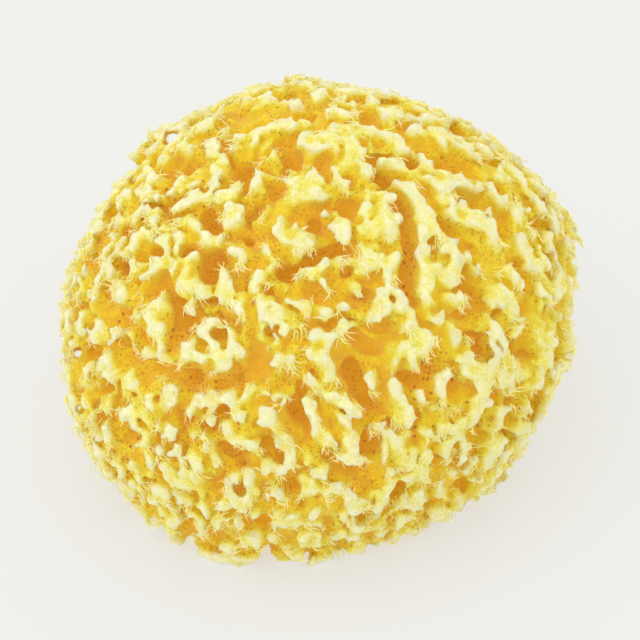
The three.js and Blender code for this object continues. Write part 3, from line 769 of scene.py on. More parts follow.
def numbers(items, name, width):
    """One property of a mesh's items as an array."""
    values = np.zeros(len(items) * width, np.float32 if name != "vertex_index" else np.int32)
    items.foreach_get(name, values)
    return values.reshape(-1, width) if width > 1 else values


def store(mesh, name, values):
    """Keeps one number for each point of a mesh."""
    attribute = mesh.attributes.new(name, "FLOAT", "POINT")
    attribute.data.foreach_set("value", np.asarray(values, np.float32))


def finish_piece(piece):
    """Makes a new piece ride on the sponge's body, in place of the plain solid."""
    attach(piece, BODY)
    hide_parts(NODE)
    return piece


def new_material(name):
    """An empty material, its node tree and its Principled shader."""
    material = bpy.data.materials.new(name)
    material.use_nodes = True
    tree = material.node_tree
    tree.nodes.clear()
    output = tree.nodes.new("ShaderNodeOutputMaterial")
    shader = tree.nodes.new("ShaderNodeBsdfPrincipled")
    tree.links.new(shader.outputs["BSDF"], output.inputs["Surface"])
    return material, tree, shader


def node(tree, kind, inputs=None, **settings):
    """A new node with its settings and its inputs: a value, or an output socket to link."""
    made = tree.nodes.new(kind)
    for name, value in settings.items():
        setattr(made, name, value)
    for name, value in (inputs or {}).items():
        if isinstance(value, bpy.types.NodeSocket):
            tree.links.new(value, made.inputs[name])
        else:
            made.inputs[name].default_value = value
    return made


def sum_of(tree, kind, a, b):
    """The output of a math node on two values or sockets."""
    return node(tree, "ShaderNodeMath", {0: a, 1: b}, operation=kind).outputs[0]


def felt_grain():
    """A shader node group: the fine matted grain of fibres, as a tone and a height."""
    tree = bpy.data.node_groups.new("felt_grain", "ShaderNodeTree")
    face = tree.interface
    size = face.new_socket("Grain per metre", in_out="INPUT", socket_type="NodeSocketFloat")
    size.default_value = 1800
    face.new_socket("Tone", in_out="OUTPUT", socket_type="NodeSocketFloat")
    face.new_socket("Height", in_out="OUTPUT", socket_type="NodeSocketFloat")
    ends = tree.nodes.new("NodeGroupInput")
    out = tree.nodes.new("NodeGroupOutput")
    place = tree.nodes.new("ShaderNodeTexCoord").outputs["Object"]
    scale = ends.outputs["Grain per metre"]
    grain = node(tree, "ShaderNodeTexNoise",
                 {"Vector": place, "Scale": scale, "Detail": 3.0, "Roughness": 0.7})
    strand_scale = sum_of(tree, "MULTIPLY", scale, 0.45)
    strands = node(tree, "ShaderNodeTexNoise",
                   {"Vector": place, "Scale": strand_scale, "Detail": 2.0, "Distortion": 1.6})
    thin = node(tree, "ShaderNodeMapRange", {"Value": strands.outputs["Fac"], "From Min": 0.44,
                                             "From Max": 0.5, "To Min": 0.0, "To Max": 1.0})
    back = node(tree, "ShaderNodeMapRange", {"Value": strands.outputs["Fac"], "From Min": 0.5,
                                             "From Max": 0.56, "To Min": 1.0, "To Max": 0.0})
    fibre = sum_of(tree, "MINIMUM", thin.outputs["Result"], back.outputs["Result"])
    tone = sum_of(tree, "ADD", grain.outputs["Fac"], sum_of(tree, "MULTIPLY", fibre, 0.18))
    height = sum_of(tree, "ADD", grain.outputs["Fac"], sum_of(tree, "MULTIPLY", fibre, 0.6))
    tree.links.new(tone, out.inputs["Tone"])
    tree.links.new(height, out.inputs["Height"])
    return tree


def add_grain(tree, shader, per_metre, rise):
    """Places the felt grain in a material: its height as a bump, and its tone for the colour."""
    group = bpy.data.node_groups.get("felt_grain") or felt_grain()
    grain = tree.nodes.new("ShaderNodeGroup")
    grain.node_tree = group
    grain.inputs["Grain per metre"].default_value = per_metre
    bump = node(tree, "ShaderNodeBump", {"Height": grain.outputs["Height"], "Distance": rise,
                                         "Strength": 0.6})
    tree.links.new(bump.outputs["Normal"], shader.inputs["Normal"])
    return grain.outputs["Tone"]


def pores(tree, per_metre, size, share):
    """A mask of small round pores, in patches that cover a share of the surface."""
    place = tree.nodes.new("ShaderNodeTexCoord").outputs["Object"]
    cells = node(tree, "ShaderNodeTexVoronoi", {"Vector": place, "Scale": per_metre})
    dot = node(tree, "ShaderNodeMapRange", {"Value": cells.outputs["Distance"], "From Min": size,
                                            "From Max": size * 1.6, "To Min": 1.0, "To Max": 0.0})
    patch = node(tree, "ShaderNodeTexNoise", {"Vector": place, "Scale": per_metre / 9,
                                              "Detail": 1.0})
    here = node(tree, "ShaderNodeMapRange", {"Value": patch.outputs["Fac"],
                                             "From Min": 0.62 - share * 0.3,
                                             "From Max": 0.7 - share * 0.3})
    return sum_of(tree, "MULTIPLY", dot.outputs["Result"], here.outputs["Result"])


def mix(tree, share, first, second):
    """A colour mixed from two, each a colour or a socket."""
    mixed = node(tree, "ShaderNodeMix", data_type="RGBA")
    for place, value in ((0, share), (6, first), (7, second)):
        if isinstance(value, bpy.types.NodeSocket):
            tree.links.new(value, mixed.inputs[place])
        else:
            mixed.inputs[place].default_value = value
    return mixed.outputs[2]


def set_inputs(shader, values):
    """Sets a shader's sockets to constants, by their names."""
    for name, value in values.items():
        shader.inputs[name].default_value = value


# The skin: where its six colours lie between a crest, at 0, and a deep canal, at 1, from a painted
# highlight on the thinnest edges through painted shade that deepens towards the canals
SHADE_PLACES = (0.0, 0.13, 0.27, 0.46, 0.7, 0.95)

# Small pores: [cells per metre, size in a cell, share of the surface], and how dark their painted
# shade is
FINE_PORES = (900, 0.24, 0.6)
FINE_DARKNESS = 0.45
LARGE_PORES = (380, 0.15, 0.35)
LARGE_DARKNESS = 0.8


def skin_material(colours):
    """The dried skeleton: cream crests, lemon slopes, gold hollows and amber canals, with a painted
    highlight on the thinnest edges, painted shade deepening into the hollows and painted light
    glowing in the deep canals.
    """
    material, tree, shader = new_material("sponge_skin")
    hollow = node(tree, "ShaderNodeAttribute", attribute_name="hollow").outputs["Fac"]
    tone = add_grain(tree, shader, 1500, 0.0004)
    patch = node(tree, "ShaderNodeTexNoise", {"Scale": 260.0, "Detail": 3.0,
                 "Vector": tree.nodes.new("ShaderNodeTexCoord").outputs["Object"]})
    stray = sum_of(tree, "MULTIPLY", sum_of(tree, "SUBTRACT", patch.outputs["Fac"], 0.5), 0.45)
    speck = sum_of(tree, "MULTIPLY", sum_of(tree, "SUBTRACT", tone, 0.55), 0.5)
    place = sum_of(tree, "ADD", sum_of(tree, "ADD", hollow, stray), speck)
    # The ramp runs from a painted highlight, the tip colour, through the crest colours into painted
    # shade in the hollows, floors and canals
    ramp = node(tree, "ShaderNodeValToRGB", {"Fac": place})
    stops = ramp.color_ramp.elements
    stops.remove(stops[1])
    tints = (colours.tip, colours.crest, colours.slope, colours.hollow, colours.floor,
             colours.canal)
    for n, (position, tint) in enumerate(zip(SHADE_PLACES, tints)):
        stop = stops[0] if n == 0 else stops.new(position)
        stop.position = position
        stop.color = (*tint, 1)
    # Dark dots for the small pores, in the deeper colours only: painted shade in their openings
    fine = sum_of(tree, "MULTIPLY", pores(tree, *FINE_PORES), FINE_DARKNESS)
    large = sum_of(tree, "MULTIPLY", pores(tree, *LARGE_PORES), LARGE_DARKNESS)
    gold = node(tree, "ShaderNodeMapRange", {"Value": place, "From Min": 0.2, "From Max": 0.5})
    dark = sum_of(tree, "MULTIPLY", sum_of(tree, "MAXIMUM", fine, large), gold.outputs["Result"])
    colour = mix(tree, dark, ramp.outputs["Color"], (*colours.pore, 1))
    tree.links.new(colour, shader.inputs["Base Color"])
    # Painted light: the deep hollows and canals glow with their own colour, lifting their shade
    deep = node(tree, "ShaderNodeMapRange", {"Value": hollow, "From Min": 0.45, "From Max": 1.0})
    painted_hollow_light = mix(tree, deep.outputs["Result"], (0, 0, 0, 1), colour)
    tree.links.new(painted_hollow_light, shader.inputs["Emission Color"])
    set_inputs(shader, {
        "Emission Strength": 0.36, "Roughness": 0.92, "Specular IOR Level": 0.25,
        "Subsurface Weight": 0.4, "Subsurface Radius": (1.0, 0.62, 0.2),
        "Subsurface Scale": 0.0025, "Sheen Weight": 0.15})
    return material


def fibre_material(colours):
    """Torn fibres: cream, a little yellower towards their roots, with a faint painted glow that lifts
    their shade.
    """
    material = bpy.data.materials.get("sponge_fibre")
    if material is not None:
        return material
    material, tree, shader = new_material("sponge_fibre")
    tone = add_grain(tree, shader, 2600, 0.0001)
    along = node(tree, "ShaderNodeAttribute", attribute_name="along").outputs["Fac"]
    reach = sum_of(tree, "ADD", along, sum_of(tree, "MULTIPLY", tone, 0.3))
    share = node(tree, "ShaderNodeMapRange", {"Value": reach, "From Min": 0.1, "From Max": 0.7})
    colour = mix(tree, share.outputs["Result"], (*colours.slope, 1), (*colours.fibre, 1))
    tree.links.new(colour, shader.inputs["Base Color"])
    # Painted light: the fibres glow faintly with their own colour
    tree.links.new(colour, shader.inputs["Emission Color"])
    set_inputs(shader, {
        "Emission Strength": 0.15, "Roughness": 0.85, "Specular IOR Level": 0.3,
        "Subsurface Weight": 0.3, "Subsurface Radius": (1.0, 0.8, 0.4),
        "Subsurface Scale": 0.001, "Sheen Weight": 0.2})
    return material


def down_over(outward):
    """The way down over the skin, for outward directions."""
    falling = np.array([0.0, 0.0, -1.0]) + outward * outward[:, 2:3]
    return unit(falling)


def skin_points(name):
    """The places, inward normals, depths and crowding of the skeleton's points."""
    skeleton = bpy.data.objects.get(name)
    if skeleton is None:
        raise RuntimeError("the skeleton comes first: " + name)
    mesh = skeleton.data
    places = numbers(mesh.vertices, "co", 3) / MM
    inward = -numbers(mesh.vertex_normals, "vector", 3)
    depth = np.zeros(len(places), np.float32)
    mesh.attributes["depth"].data.foreach_get("value", depth)
    crowd = np.zeros(len(places), np.float32)
    mesh.attributes["crowd"].data.foreach_get("value", crowd)
    return places, inward, depth, crowd


def draw(rng, weights, count):
    """So many different numbers of points, likelier where the weight is high."""
    count = min(count, int((weights > 0).sum()))
    return rng.choice(len(weights), count, replace=False, p=weights / weights.sum())


# Strands: the most in one piece, and how deep below the outer form their roots may lie
MOST_STRANDS = 7600
TUFT_DEPTH = 4.5
FRAYED_DEPTH = 3.5
FELT_DEPTH = 3.0

# Open edges, where little of the sponge is round a point: [crowding at which it ends, its range]
TUFT_EDGE = (0.46, 0.14)
FELT_EDGE = (0.5, 0.2)
FRAYED_CROWD = 0.52

# Tufts: strands in each, their spread over the skin, and the height above which they are rare
TUFT_STRANDS = (5, 12)
TUFT_SPREAD = 0.6
TUFT_LEAN = 0.3
TUFT_STRAY = 0.28
TUFT_TOP = 92.0
TUFT_RISE = 40.0
TUFT_LEAST = 0.08

# Frayed ends: how likely an upper end frays, where an end lies on its crest, and how far from the
# skin and how low it may lie
END_ODDS = (0.7, 0.6)
END_REACH = 0.7
END_SUNK = 0.8
END_GAP = 2.5
END_LOWEST = 3.0


def openness(crowd, edge):
    """How open the surface is at each point, from 0 in the hollows to 1 on thin edges."""
    most, run = edge
    return np.clip((most - crowd) / run, 0, 1)


def tuft_strands(settings):
    """Where each strand of the torn tufts stands, where it points and how long it is."""
    rng = np.random.default_rng(41)
    places, inward, depth, crowd = skin_points("sponge_skeleton")
    outward = unit(places - HEART)
    down = down_over(outward)
    hanging = np.clip((inward * down).sum(1) + 0.35, 0, 1)
    high = places[:, 2]
    frayed = np.clip((TUFT_TOP - high) / TUFT_RISE, TUFT_LEAST, 1) * np.clip((high - 1) / 6, 0, 1)
    weights = openness(crowd, TUFT_EDGE) ** 2 * hanging * frayed * (depth < TUFT_DEPTH)
    roots = draw(rng, weights, settings.tufts)
    strands = rng.integers(*TUFT_STRANDS, len(roots))
    owner = np.repeat(roots, strands)
    length = np.repeat(rng.uniform(0.55, 1.0, len(roots)), strands)
    length *= settings.tuft_length / MM * rng.uniform(0.5, 1.0, len(owner))
    lean = np.repeat(rng.normal(0, TUFT_LEAN, (len(roots), 3)), strands, 0)
    aim = 0.75 * down[owner] + 0.45 * inward[owner] + 0.2 * outward[owner] + lean
    aim = unit(aim + rng.normal(0, TUFT_STRAY, aim.shape))
    spread_by = rng.normal(0, TUFT_SPREAD, aim.shape)
    spread_by -= inward[owner] * (spread_by * inward[owner]).sum(1, keepdims=True)
    root = places[owner] + spread_by - 0.35 * inward[owner]
    return root, aim, length


def crest_ends():
    """The lower end of each crest, some upper ends, the way that it runs there, and its breadth."""
    pits, large = grow_pits()
    crests = grow_crests(pits, large)
    down = down_over(crests.direction)
    falls = (crests.long * down).sum(1)
    for n in range(len(crests.radius)):
        lower = 1 if falls[n] > 0 else -1
        for side in (lower, -lower):
            if side != lower and chance(n, 14) > END_ODDS[0] - END_ODDS[1] * abs(falls[n]):
                continue
            run = crests.long[n] * side
            along = crests.stretch[n] + END_REACH * crests.radius[n]
            outward = unit(crests.direction[n] * crests.reach[n] + run * along)
            tip = HEART + outward * (lump_radius(outward[None])[0] - END_SUNK)
            yield tip, run, crests.radius[n]


def frayed_strands(settings):
    """Where each strand of a crest's frayed end stands, where it points and how long it is."""
    rng = np.random.default_rng(47)
    places, inward, depth, crowd = skin_points("sponge_skeleton")
    high = np.flatnonzero(depth < FRAYED_DEPTH)
    finder = KDTree(len(high))
    for n in high:
        finder.insert(places[n], n)
    finder.balance()
    roots, aims, lengths = [], [], []
    for tip, run, half_width in crest_ends():
        place, nearest, apart = finder.find(tip)
        if apart > END_GAP or place[2] < END_LOWEST:
            continue
        near = [found[1] for found in finder.find_range(place, 0.8 + 0.45 * half_width)]
        near = [n for n in near if crowd[n] < FRAYED_CROWD] or [nearest]
        count = int(settings.frayed * (0.6 + 0.3 * half_width) * rng.uniform(0.5, 1.3)) + 2
        outward = unit(places[nearest] - HEART)
        side = np.cross(outward, run)
        share = rng.uniform(0.5, 1.0)
        for n in rng.choice(near, count):
            across = (places[n] - places[nearest]) @ side / half_width
            aim = run + down_over(outward[None])[0] * 0.5 + 0.3 * inward[n] - 0.12 * outward
            aim = aim + side * (0.5 * across + rng.normal(0, 0.25)) + rng.normal(0, 0.15, 3)
            roots.append(places[n] - 0.25 * inward[n] + rng.normal(0, 0.12, 3))
            aims.append(unit(aim))
            lengths.append(settings.frayed_length / MM * share * rng.uniform(0.45, 1.0))
    order = rng.permutation(len(roots))[:MOST_STRANDS]
    return np.array(roots)[order], np.array(aims)[order], np.array(lengths)[order]


def felt_strands(settings):
    """Where each short fibre of the felt stands, where it points and how long it is."""
    rng = np.random.default_rng(43)
    places, inward, depth, crowd = skin_points("sponge_skeleton")
    outward = unit(places - HEART)
    down = down_over(outward)
    right = np.clip(outward @ RIGHT * 1.2 + 0.2, 0.15, 1)
    weights = openness(crowd, FELT_EDGE) * right * (depth < FELT_DEPTH) * (places[:, 2] > 1.5)
    roots = draw(rng, weights, settings.felt)
    aim = inward[roots] + 0.7 * down[roots] + rng.normal(0, 0.5, (len(roots), 3))
    length = settings.felt_length / MM * rng.uniform(0.4, 1.0, len(roots))
    return places[roots] - 0.15 * inward[roots], unit(aim), length


# The gap kept between a strand's tip and the floor, and how far a strand may curl down
TIP_GAP = 0.3
CURL_DOWN = 0.35


def keep_above_floor(root, aim, length):
    """Leaves out the strands whose tips would reach the floor."""
    above = root[:, 2] + np.minimum(aim[:, 2] - CURL_DOWN, 0) * length > TIP_GAP
    return root[above], aim[above], length[above]


def root_mesh(name, root, aim, length):
    """A mesh of loose points, one at each strand's root, with its aim and length."""
    mesh = bpy.data.meshes.new(name)
    mesh.vertices.add(len(root))
    mesh.vertices.foreach_set("co", (root * MM).astype(np.float32).ravel())
    arrow = mesh.attributes.new("aim", "FLOAT_VECTOR", "POINT")
    arrow.data.foreach_set("vector", aim.astype(np.float32).ravel())
    store(mesh, "reach", length * MM)
    return mesh


# One strand: its points and sides, how its curl gathers towards the tip, the angle that its kink
# runs through, how far a curl shortens it, and how thick its tip is beside its root
STRAND_POINTS = 5
STRAND_SIDES = 3
CURL_POWER = 1.8
KINK_ANGLE = 4.2
CURL_SAG = -0.25
TIP_SHARE = 0.22


def one_strand(tree, thickness, curl, kink):
    """One tapered strand of length 1 that curls over sideways, as nodes."""
    line = node(tree, "GeometryNodeCurvePrimitiveLine", {"End": (0, 0, 1)}, mode="POINTS")
    line = node(tree, "GeometryNodeResampleCurve", {"Curve": line.outputs["Curve"],
                                                     "Count": STRAND_POINTS})
    share = tree.nodes.new("GeometryNodeSplineParameter").outputs["Factor"]
    gathered = sum_of(tree, "POWER", share, CURL_POWER)
    over = sum_of(tree, "MULTIPLY", gathered, curl)
    wave_at = node(tree, "ShaderNodeMath", {0: sum_of(tree, "MULTIPLY", share, KINK_ANGLE)},
                   operation="SINE").outputs[0]
    side = sum_of(tree, "MULTIPLY", wave_at, kink)
    sag = sum_of(tree, "MULTIPLY", gathered, CURL_SAG * abs(curl))
    bend = node(tree, "ShaderNodeCombineXYZ", {"X": over, "Y": side, "Z": sag}).outputs[0]
    moved = node(tree, "GeometryNodeSetPosition",
                 {"Geometry": line.outputs["Curve"], "Offset": bend})
    kept = node(tree, "GeometryNodeStoreNamedAttribute",
                {"Geometry": moved.outputs["Geometry"], "Name": "along", "Value": share},
                data_type="FLOAT", domain="POINT")
    left = node(tree, "ShaderNodeMapRange", {"Value": share, "To Min": 1.0,
                                             "To Max": TIP_SHARE})
    girth = sum_of(tree, "MULTIPLY", left.outputs["Result"], thickness)
    ring = node(tree, "GeometryNodeCurvePrimitiveCircle", {"Resolution": STRAND_SIDES,
                                                               "Radius": 1.0})
    tube = node(tree, "GeometryNodeCurveToMesh",
                {"Curve": kept.outputs["Geometry"], "Profile Curve": ring.outputs["Curve"],
                 "Scale": girth, "Fill Caps": True})
    smooth = node(tree, "GeometryNodeSetShadeSmooth", {"Geometry": tube.outputs["Mesh"]})
    return node(tree, "GeometryNodeGeometryToInstance", {"Geometry": smooth.outputs["Geometry"]})


# The strands' shapes: [how far a strand curls over, how far it kinks sideways]
STRAND_SHAPES = [(0.15, 0.04), (0.45, -0.07), (-0.3, 0.1), (0.75, 0.05), (-0.6, -0.12)]


def strand_tree():
    """Geometry nodes that stand a strand on every point, aimed and as long as the point says."""
    tree = bpy.data.node_groups.new("strands", "GeometryNodeTree")
    face = tree.interface
    face.new_socket("Geometry", in_out="INPUT", socket_type="NodeSocketGeometry")
    for name, kind in (("Thickness", "NodeSocketFloat"), ("Seed", "NodeSocketInt"),
                       ("Material", "NodeSocketMaterial")):
        face.new_socket(name, in_out="INPUT", socket_type=kind)
    face.new_socket("Geometry", in_out="OUTPUT", socket_type="NodeSocketGeometry")
    ends = tree.nodes.new("NodeGroupInput")
    join = tree.nodes.new("GeometryNodeJoinGeometry")
    for curl, kink in STRAND_SHAPES:
        made = one_strand(tree, ends.outputs["Thickness"], curl, kink)
        tree.links.new(made.outputs["Instances"], join.inputs["Geometry"])
    aim = node(tree, "GeometryNodeInputNamedAttribute", {"Name": "aim"},
               data_type="FLOAT_VECTOR").outputs["Attribute"]
    reach = node(tree, "GeometryNodeInputNamedAttribute", {"Name": "reach"},
                 data_type="FLOAT").outputs["Attribute"]
    turned = node(tree, "FunctionNodeAlignRotationToVector", {"Vector": aim}, axis="Z")
    pick = node(tree, "FunctionNodeRandomValue", data_type="INT")
    pick.inputs[4].default_value = 0
    pick.inputs[5].default_value = len(STRAND_SHAPES) - 1
    tree.links.new(ends.outputs["Seed"], pick.inputs["Seed"])
    spin = node(tree, "FunctionNodeRandomValue", data_type="FLOAT")
    spin.inputs[2].default_value = 0.0
    spin.inputs[3].default_value = 2 * math.pi
    tree.links.new(ends.outputs["Seed"], spin.inputs["Seed"])
    about = node(tree, "ShaderNodeCombineXYZ", {"Z": spin.outputs[1]}).outputs[0]
    twist = node(tree, "FunctionNodeEulerToRotation", {"Euler": about})
    turned = node(tree, "FunctionNodeRotateRotation",
                  {"Rotation": turned.outputs["Rotation"], "Rotate By": twist.outputs[0]},
                  rotation_space="LOCAL")
    stood = node(tree, "GeometryNodeInstanceOnPoints",
                 {"Points": ends.outputs["Geometry"], "Instance": join.outputs["Geometry"],
                  "Pick Instance": True, "Instance Index": pick.outputs[2],
                  "Rotation": turned.outputs["Rotation"], "Scale": reach})
    real = node(tree, "GeometryNodeRealizeInstances", {"Geometry": stood.outputs["Instances"]})
    dressed = node(tree, "GeometryNodeSetMaterial",
                   {"Geometry": real.outputs["Geometry"], "Material": ends.outputs["Material"]})
    out = tree.nodes.new("NodeGroupOutput")
    tree.links.new(dressed.outputs["Geometry"], out.inputs["Geometry"])
    return tree


def grow_strands(name, strands, thickness, seed, material):
    """A piece of strands, grown by the geometry nodes and kept as a plain mesh."""
    points = bpy.data.objects.new(name + "_roots", root_mesh(name + "_roots", *strands))
    bpy.context.scene.collection.objects.link(points)
    modifier = points.modifiers.new("strands", "NODES")
    tree = bpy.data.node_groups.get("strands") or strand_tree()
    modifier.node_group = tree
    values = {"Thickness": thickness, "Seed": seed, "Material": material}
    for socket in tree.interface.items_tree:
        if socket.in_out == "INPUT" and socket.name in values:
            modifier[socket.identifier] = values[socket.name]
    grown = points.evaluated_get(bpy.context.evaluated_depsgraph_get())
    mesh = bpy.data.meshes.new_from_object(grown)
    mesh.name = name
    for leftover in ("aim", "reach"):
        if leftover in mesh.attributes:
            mesh.attributes.remove(mesh.attributes[leftover])
    roots = points.data
    bpy.data.objects.remove(points)
    bpy.data.meshes.remove(roots)
    if len(mesh.polygons) < LEAST_FACES:
        raise RuntimeError("no strands grew for " + name)
    piece = bpy.data.objects.new(name, mesh)
    bpy.context.scene.collection.objects.link(piece)
    return finish_piece(piece)


def shade(name, description, default):
    """A colour that a user can change."""
    return FloatVectorProperty(name=name, description=description, subtype="COLOR", size=3,
                               min=0, max=1, default=default)


class SpongeSkeleton(bpy.types.PropertyGroup):
    """Sizes of the carved skeleton."""

    grain: FloatProperty(
        name="Grain", description="Spacing of the points that the skeleton is carved on",
        default=0.00055, min=0.0004, max=0.002, unit="LENGTH")
    warp: FloatProperty(
        name="Wander", description="How far pits stray from round", default=0.0009, min=0,
        max=0.003, unit="LENGTH")
    ragged: FloatProperty(
        name="Raggedness", description="How far crests and walls are torn in and out",
        default=0.0013, min=0, max=0.002, unit="LENGTH")
    sunk: FloatProperty(
        name="Hollow depth", description="How far the hollows lie below the crests",
        default=0.0032, min=0, max=0.006, unit="LENGTH")
    triangles: IntProperty(
        name="Triangles", description="The most triangles that the skeleton keeps",
        default=195000, min=10000, max=199000)


class SpongeColours(bpy.types.PropertyGroup):
    """Colours of the dried skeleton, from its crests down into its canals: the tip colour is a
    painted highlight, and the colours grow deeper with painted shade down into the canals.
    """

    # Tip: a painted highlight on the thinnest edges
    tip: shade("Tip", "Colour of the thinnest torn edges", (1.0, 0.94, 0.58))
    crest: shade("Crest", "Colour of the torn tops", (0.99, 0.905, 0.32))
    slope: shade("Slope", "Colour just under the tops", (0.95, 0.83, 0.13))
    # Hollow, floor and canal deepen the colour as painted shade
    hollow: shade("Hollow", "Colour of the sides of the hollows", (0.89, 0.68, 0.035))
    floor: shade("Floor", "Colour of the floors of the hollows", (0.79, 0.52, 0.02))
    canal: shade("Canal", "Colour deep in the canals", (0.68, 0.38, 0.025))
    # Pore: painted shade in the openings of the small pores
    pore: shade("Pore", "Colour of the small pores", (0.42, 0.13, 0.02))
    fibre: shade("Fibre", "Colour of the loose fibres", (1.0, 0.93, 0.42))


class SpongeFibres(bpy.types.PropertyGroup):
    """The torn tufts that hang from the crests, and the felt on them."""

    tufts: IntProperty(
        name="Tufts", description="How many torn tufts hang from the crests' edges", default=900,
        min=10, max=1500)
    tuft_length: FloatProperty(
        name="Tuft length", description="Length of the longest strands", default=0.0034,
        min=0.001, max=0.008, unit="LENGTH")
    tuft_thickness: FloatProperty(
        name="Tuft thickness", description="Radius of a strand at its root, as a share of its "
        "length", default=0.06, min=0.01, max=0.2, subtype="FACTOR")
    frayed: IntProperty(
        name="Fraying", description="How many strands a crest's end is frayed into, about",
        default=9, min=1, max=30)
    frayed_length: FloatProperty(
        name="Frayed length", description="Length of the longest strands of a frayed end",
        default=0.0036, min=0.001, max=0.008, unit="LENGTH")
    frayed_thickness: FloatProperty(
        name="Frayed thickness", description="Radius of a frayed strand at its root, as a share "
        "of its length", default=0.085, min=0.01, max=0.2, subtype="FACTOR")
    felt: IntProperty(
        name="Felt fibres", description="How many short fibres stand on the crests",
        default=7600, min=10, max=8000)
    felt_length: FloatProperty(
        name="Felt length", description="Length of the longest felt fibres", default=0.0012,
        min=0.0003, max=0.003, unit="LENGTH")
    felt_thickness: FloatProperty(
        name="Felt thickness", description="Radius of a felt fibre at its root, as a share of "
        "its length", default=0.08, min=0.01, max=0.2, subtype="FACTOR")


class SpongeStage(bpy.types.PropertyGroup):
    """The floor, the lights and the camera."""

    floor: FloatVectorProperty(
        name="Floor", description="Colour of the floor", subtype="COLOR", size=3, min=0, max=1,
        default=(0.28, 0.282, 0.276))
    lens: FloatProperty(
        name="Lens", description="Focal length of the camera", default=168.4, min=20, max=400,
        unit="CAMERA")


# How the colour goes from the crests, near 0, to the canals, near 1, as painted shade: it deepens
# with the depth and with how crowded a place is, and is paler on the right
SHADE_TOP = 0.19
SHADE_RISE = 0.85
SHADE_START = 1.0
SHADE_RUN = 3.9
CROWD_REACH = 5
CROWD_SHADE = 1.1
CROWD_MIDDLE = 0.45
CROWD_RANGE = (-0.25, 0.3)
PALE_SIDE = 0.24
PALE_RISE = 1.6
PALE_START = 0.6


def painted_hollow_shade(places, depth, closed):
    """Where each point of the skeleton lies between the colours of a crest and of a canal: painted
    shade that grows with depth and crowding, weaker on the right.
    """
    tone = SHADE_TOP + SHADE_RISE * (1 - np.exp(-np.maximum(depth - SHADE_START, 0) / SHADE_RUN))
    tone += CROWD_SHADE * np.clip(closed - CROWD_MIDDLE, *CROWD_RANGE)
    rightness = PALE_RISE * unit(places - HEART) @ RIGHT - PALE_START
    return np.clip(tone * (1 - PALE_SIDE * np.clip(rightness, 0, 1)), 0, 1)


class SPONGE_OT_skeleton(bpy.types.Operator):
    """Carve the sponge's skeleton with its bowls, canals and torn crests"""

    bl_idname = "sponge.skeleton"
    bl_label = "Skeleton"

    def execute(self, context):
        settings = context.scene.sponge_skeleton
        grid, solid = skeleton_field(settings)
        mesh = mesh_of("sponge_skeleton", grid, solid, settings.triangles)
        if len(mesh.polygons) < LEAST_FACES:
            raise RuntimeError("the skeleton has no surface")
        places = numbers(mesh.vertices, "co", 3) / MM
        depth = depth_below(places)
        # How crowded with sponge the room round each point is: it darkens the colour as painted shade
        # and places the fibres
        crowd = blurred((solid > 0).astype(np.float32), CROWD_REACH)
        at = np.clip(np.round((places - grid.low) / grid.step).astype(int), 0, grid.counts - 1)
        closed = crowd[at[:, 0], at[:, 1], at[:, 2]]
        store(mesh, "hollow", painted_hollow_shade(places, depth, closed))
        store(mesh, "depth", depth)
        store(mesh, "crowd", closed)
        mesh.shade_smooth()
        mesh.materials.append(skin_material(context.scene.sponge_colours))
        piece = bpy.data.objects.new("sponge_skeleton", mesh)
        context.scene.collection.objects.link(piece)
        finish_piece(piece)
        return {"FINISHED"}


class SPONGE_OT_tufts(bpy.types.Operator):
    """Grow the torn tufts that hang from the crests"""

    bl_idname = "sponge.tufts"
    bl_label = "Tufts"

    def execute(self, context):
        settings = context.scene.sponge_fibres
        material = fibre_material(context.scene.sponge_colours)
        strands = keep_above_floor(*tuft_strands(settings))
        grow_strands("torn_tufts", strands, settings.tuft_thickness, 7, material)
        return {"FINISHED"}


class SPONGE_OT_frayed(bpy.types.Operator):
    """Fray the ends of the crests into short brushes of fibre"""

    bl_idname = "sponge.frayed"
    bl_label = "Frayed ends"

    def execute(self, context):
        settings = context.scene.sponge_fibres
        material = fibre_material(context.scene.sponge_colours)
        strands = keep_above_floor(*frayed_strands(settings))
        grow_strands("frayed_ends", strands, settings.frayed_thickness, 9, material)
        return {"FINISHED"}


class SPONGE_OT_felt(bpy.types.Operator):
    """Grow the short felt fibres on the crests"""

    bl_idname = "sponge.felt"
    bl_label = "Felt"

    def execute(self, context):
        settings = context.scene.sponge_fibres
        material = fibre_material(context.scene.sponge_colours)
        strands = keep_above_floor(*felt_strands(settings))
        grow_strands("felt_fibres", strands, settings.felt_thickness, 8, material)
        return {"FINISHED"}


class SPONGE_OT_stage(bpy.types.Operator):
    """Set the floor, the soft lights and the camera"""

    bl_idname = "sponge.stage"
    bl_label = "Stage"

    def execute(self, context):
        scene = context.scene
        settings = scene.sponge_stage
        make_floor(settings)
        make_lights(scene)
        camera = bpy.data.cameras.new("camera")
        camera.lens = settings.lens
        camera.sensor_width = 36
        holder = bpy.data.objects.new("camera", camera)
        scene.collection.objects.link(holder)
        holder.location = (HEART + NEAR * SEEN_DISTANCE + RIGHT * CAMERA_ASIDE) * MM
        holder.rotation_euler = (math.radians(90) - SEEN_ELEVATION, 0, 0)
        camera.clip_end = 20
        scene.camera = holder
        scene.view_settings.view_transform = "Standard"
        return {"FINISHED"}


# The light: a broad key from the upper left and a pale surrounding, on a floor that glows a little
KEY_PLACE = (-0.5, -0.35, 0.9)
KEY_SPREAD = math.radians(60)
KEY_POWER = 0.5
SKY_POWER = 0.98
FLOOR_GLOW = 0.57
FLOOR_HALF = 3.0


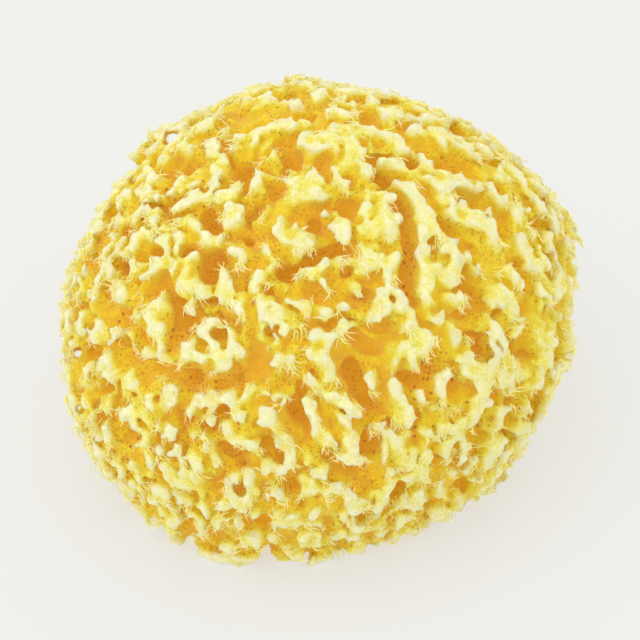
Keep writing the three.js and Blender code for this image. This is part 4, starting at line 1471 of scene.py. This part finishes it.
def make_floor(settings):
    """A wide, pale, plain floor under the cut face."""
    mesh = bpy.data.meshes.new("floor")
    side = FLOOR_HALF
    mesh.from_pydata([(-side, -side, 0), (side, -side, 0), (side, side, 0), (-side, side, 0)], [],
                     [(0, 1, 2, 3)])
    material, tree, shader = new_material("floor")
    set_inputs(shader, {
        "Base Color": (*settings.floor, 1), "Emission Color": (1.0, 1.0, 0.98, 1),
        "Emission Strength": FLOOR_GLOW, "Roughness": 0.9, "Specular IOR Level": 0.1})
    mesh.materials.append(material)
    piece = bpy.data.objects.new("floor", mesh)
    bpy.context.scene.collection.objects.link(piece)


def make_lights(scene):
    """A wide, soft key from the upper left, and an even pale surrounding."""
    world = bpy.data.worlds.new("studio")
    world.use_nodes = True
    sky = world.node_tree.nodes["Background"]
    set_inputs(sky, {"Color": (1.0, 1.0, 0.99, 1), "Strength": SKY_POWER})
    scene.world = world
    key = bpy.data.lights.new("key", "SUN")
    key.angle = KEY_SPREAD
    key.energy = KEY_POWER
    holder = bpy.data.objects.new("key", key)
    scene.collection.objects.link(holder)
    holder.location = KEY_PLACE
    toward = Vector(HEART * MM) - holder.location
    holder.rotation_euler = toward.to_track_quat("-Z", "Y").to_euler()


class SPONGE_PT_panel(bpy.types.Panel):
    """The sponge's pieces"""

    bl_label = "Sea sponge"
    bl_idname = "SPONGE_PT_panel"
    bl_space_type = "VIEW_3D"
    bl_region_type = "UI"
    bl_category = "Sponge"

    def draw(self, context):
        for group in GROUPS:
            box = self.layout.box()
            for name in GROUPS[group].__annotations__:
                box.prop(getattr(context.scene, group), name)
        for operator in OPERATORS:
            self.layout.operator(operator.bl_idname)


GROUPS = {"sponge_skeleton": SpongeSkeleton, "sponge_colours": SpongeColours,
          "sponge_fibres": SpongeFibres, "sponge_stage": SpongeStage}
OPERATORS = (SPONGE_OT_stage, SPONGE_OT_skeleton, SPONGE_OT_tufts, SPONGE_OT_frayed,
             SPONGE_OT_felt)
CLASSES = (*GROUPS.values(), *OPERATORS, SPONGE_PT_panel)


def register():
    for cls in CLASSES:
        bpy.utils.register_class(cls)
    for name, group in GROUPS.items():
        setattr(bpy.types.Scene, name, PointerProperty(type=group))


def unregister():
    for name in GROUPS:
        delattr(bpy.types.Scene, name)
    for cls in reversed(CLASSES):
        bpy.utils.unregister_class(cls)


def main():
    register()
    bpy.ops.sponge.stage()
    bpy.ops.sponge.skeleton()
    bpy.ops.sponge.tufts()
    bpy.ops.sponge.frayed()
    bpy.ops.sponge.felt()


if __name__ == "__main__":
    main()
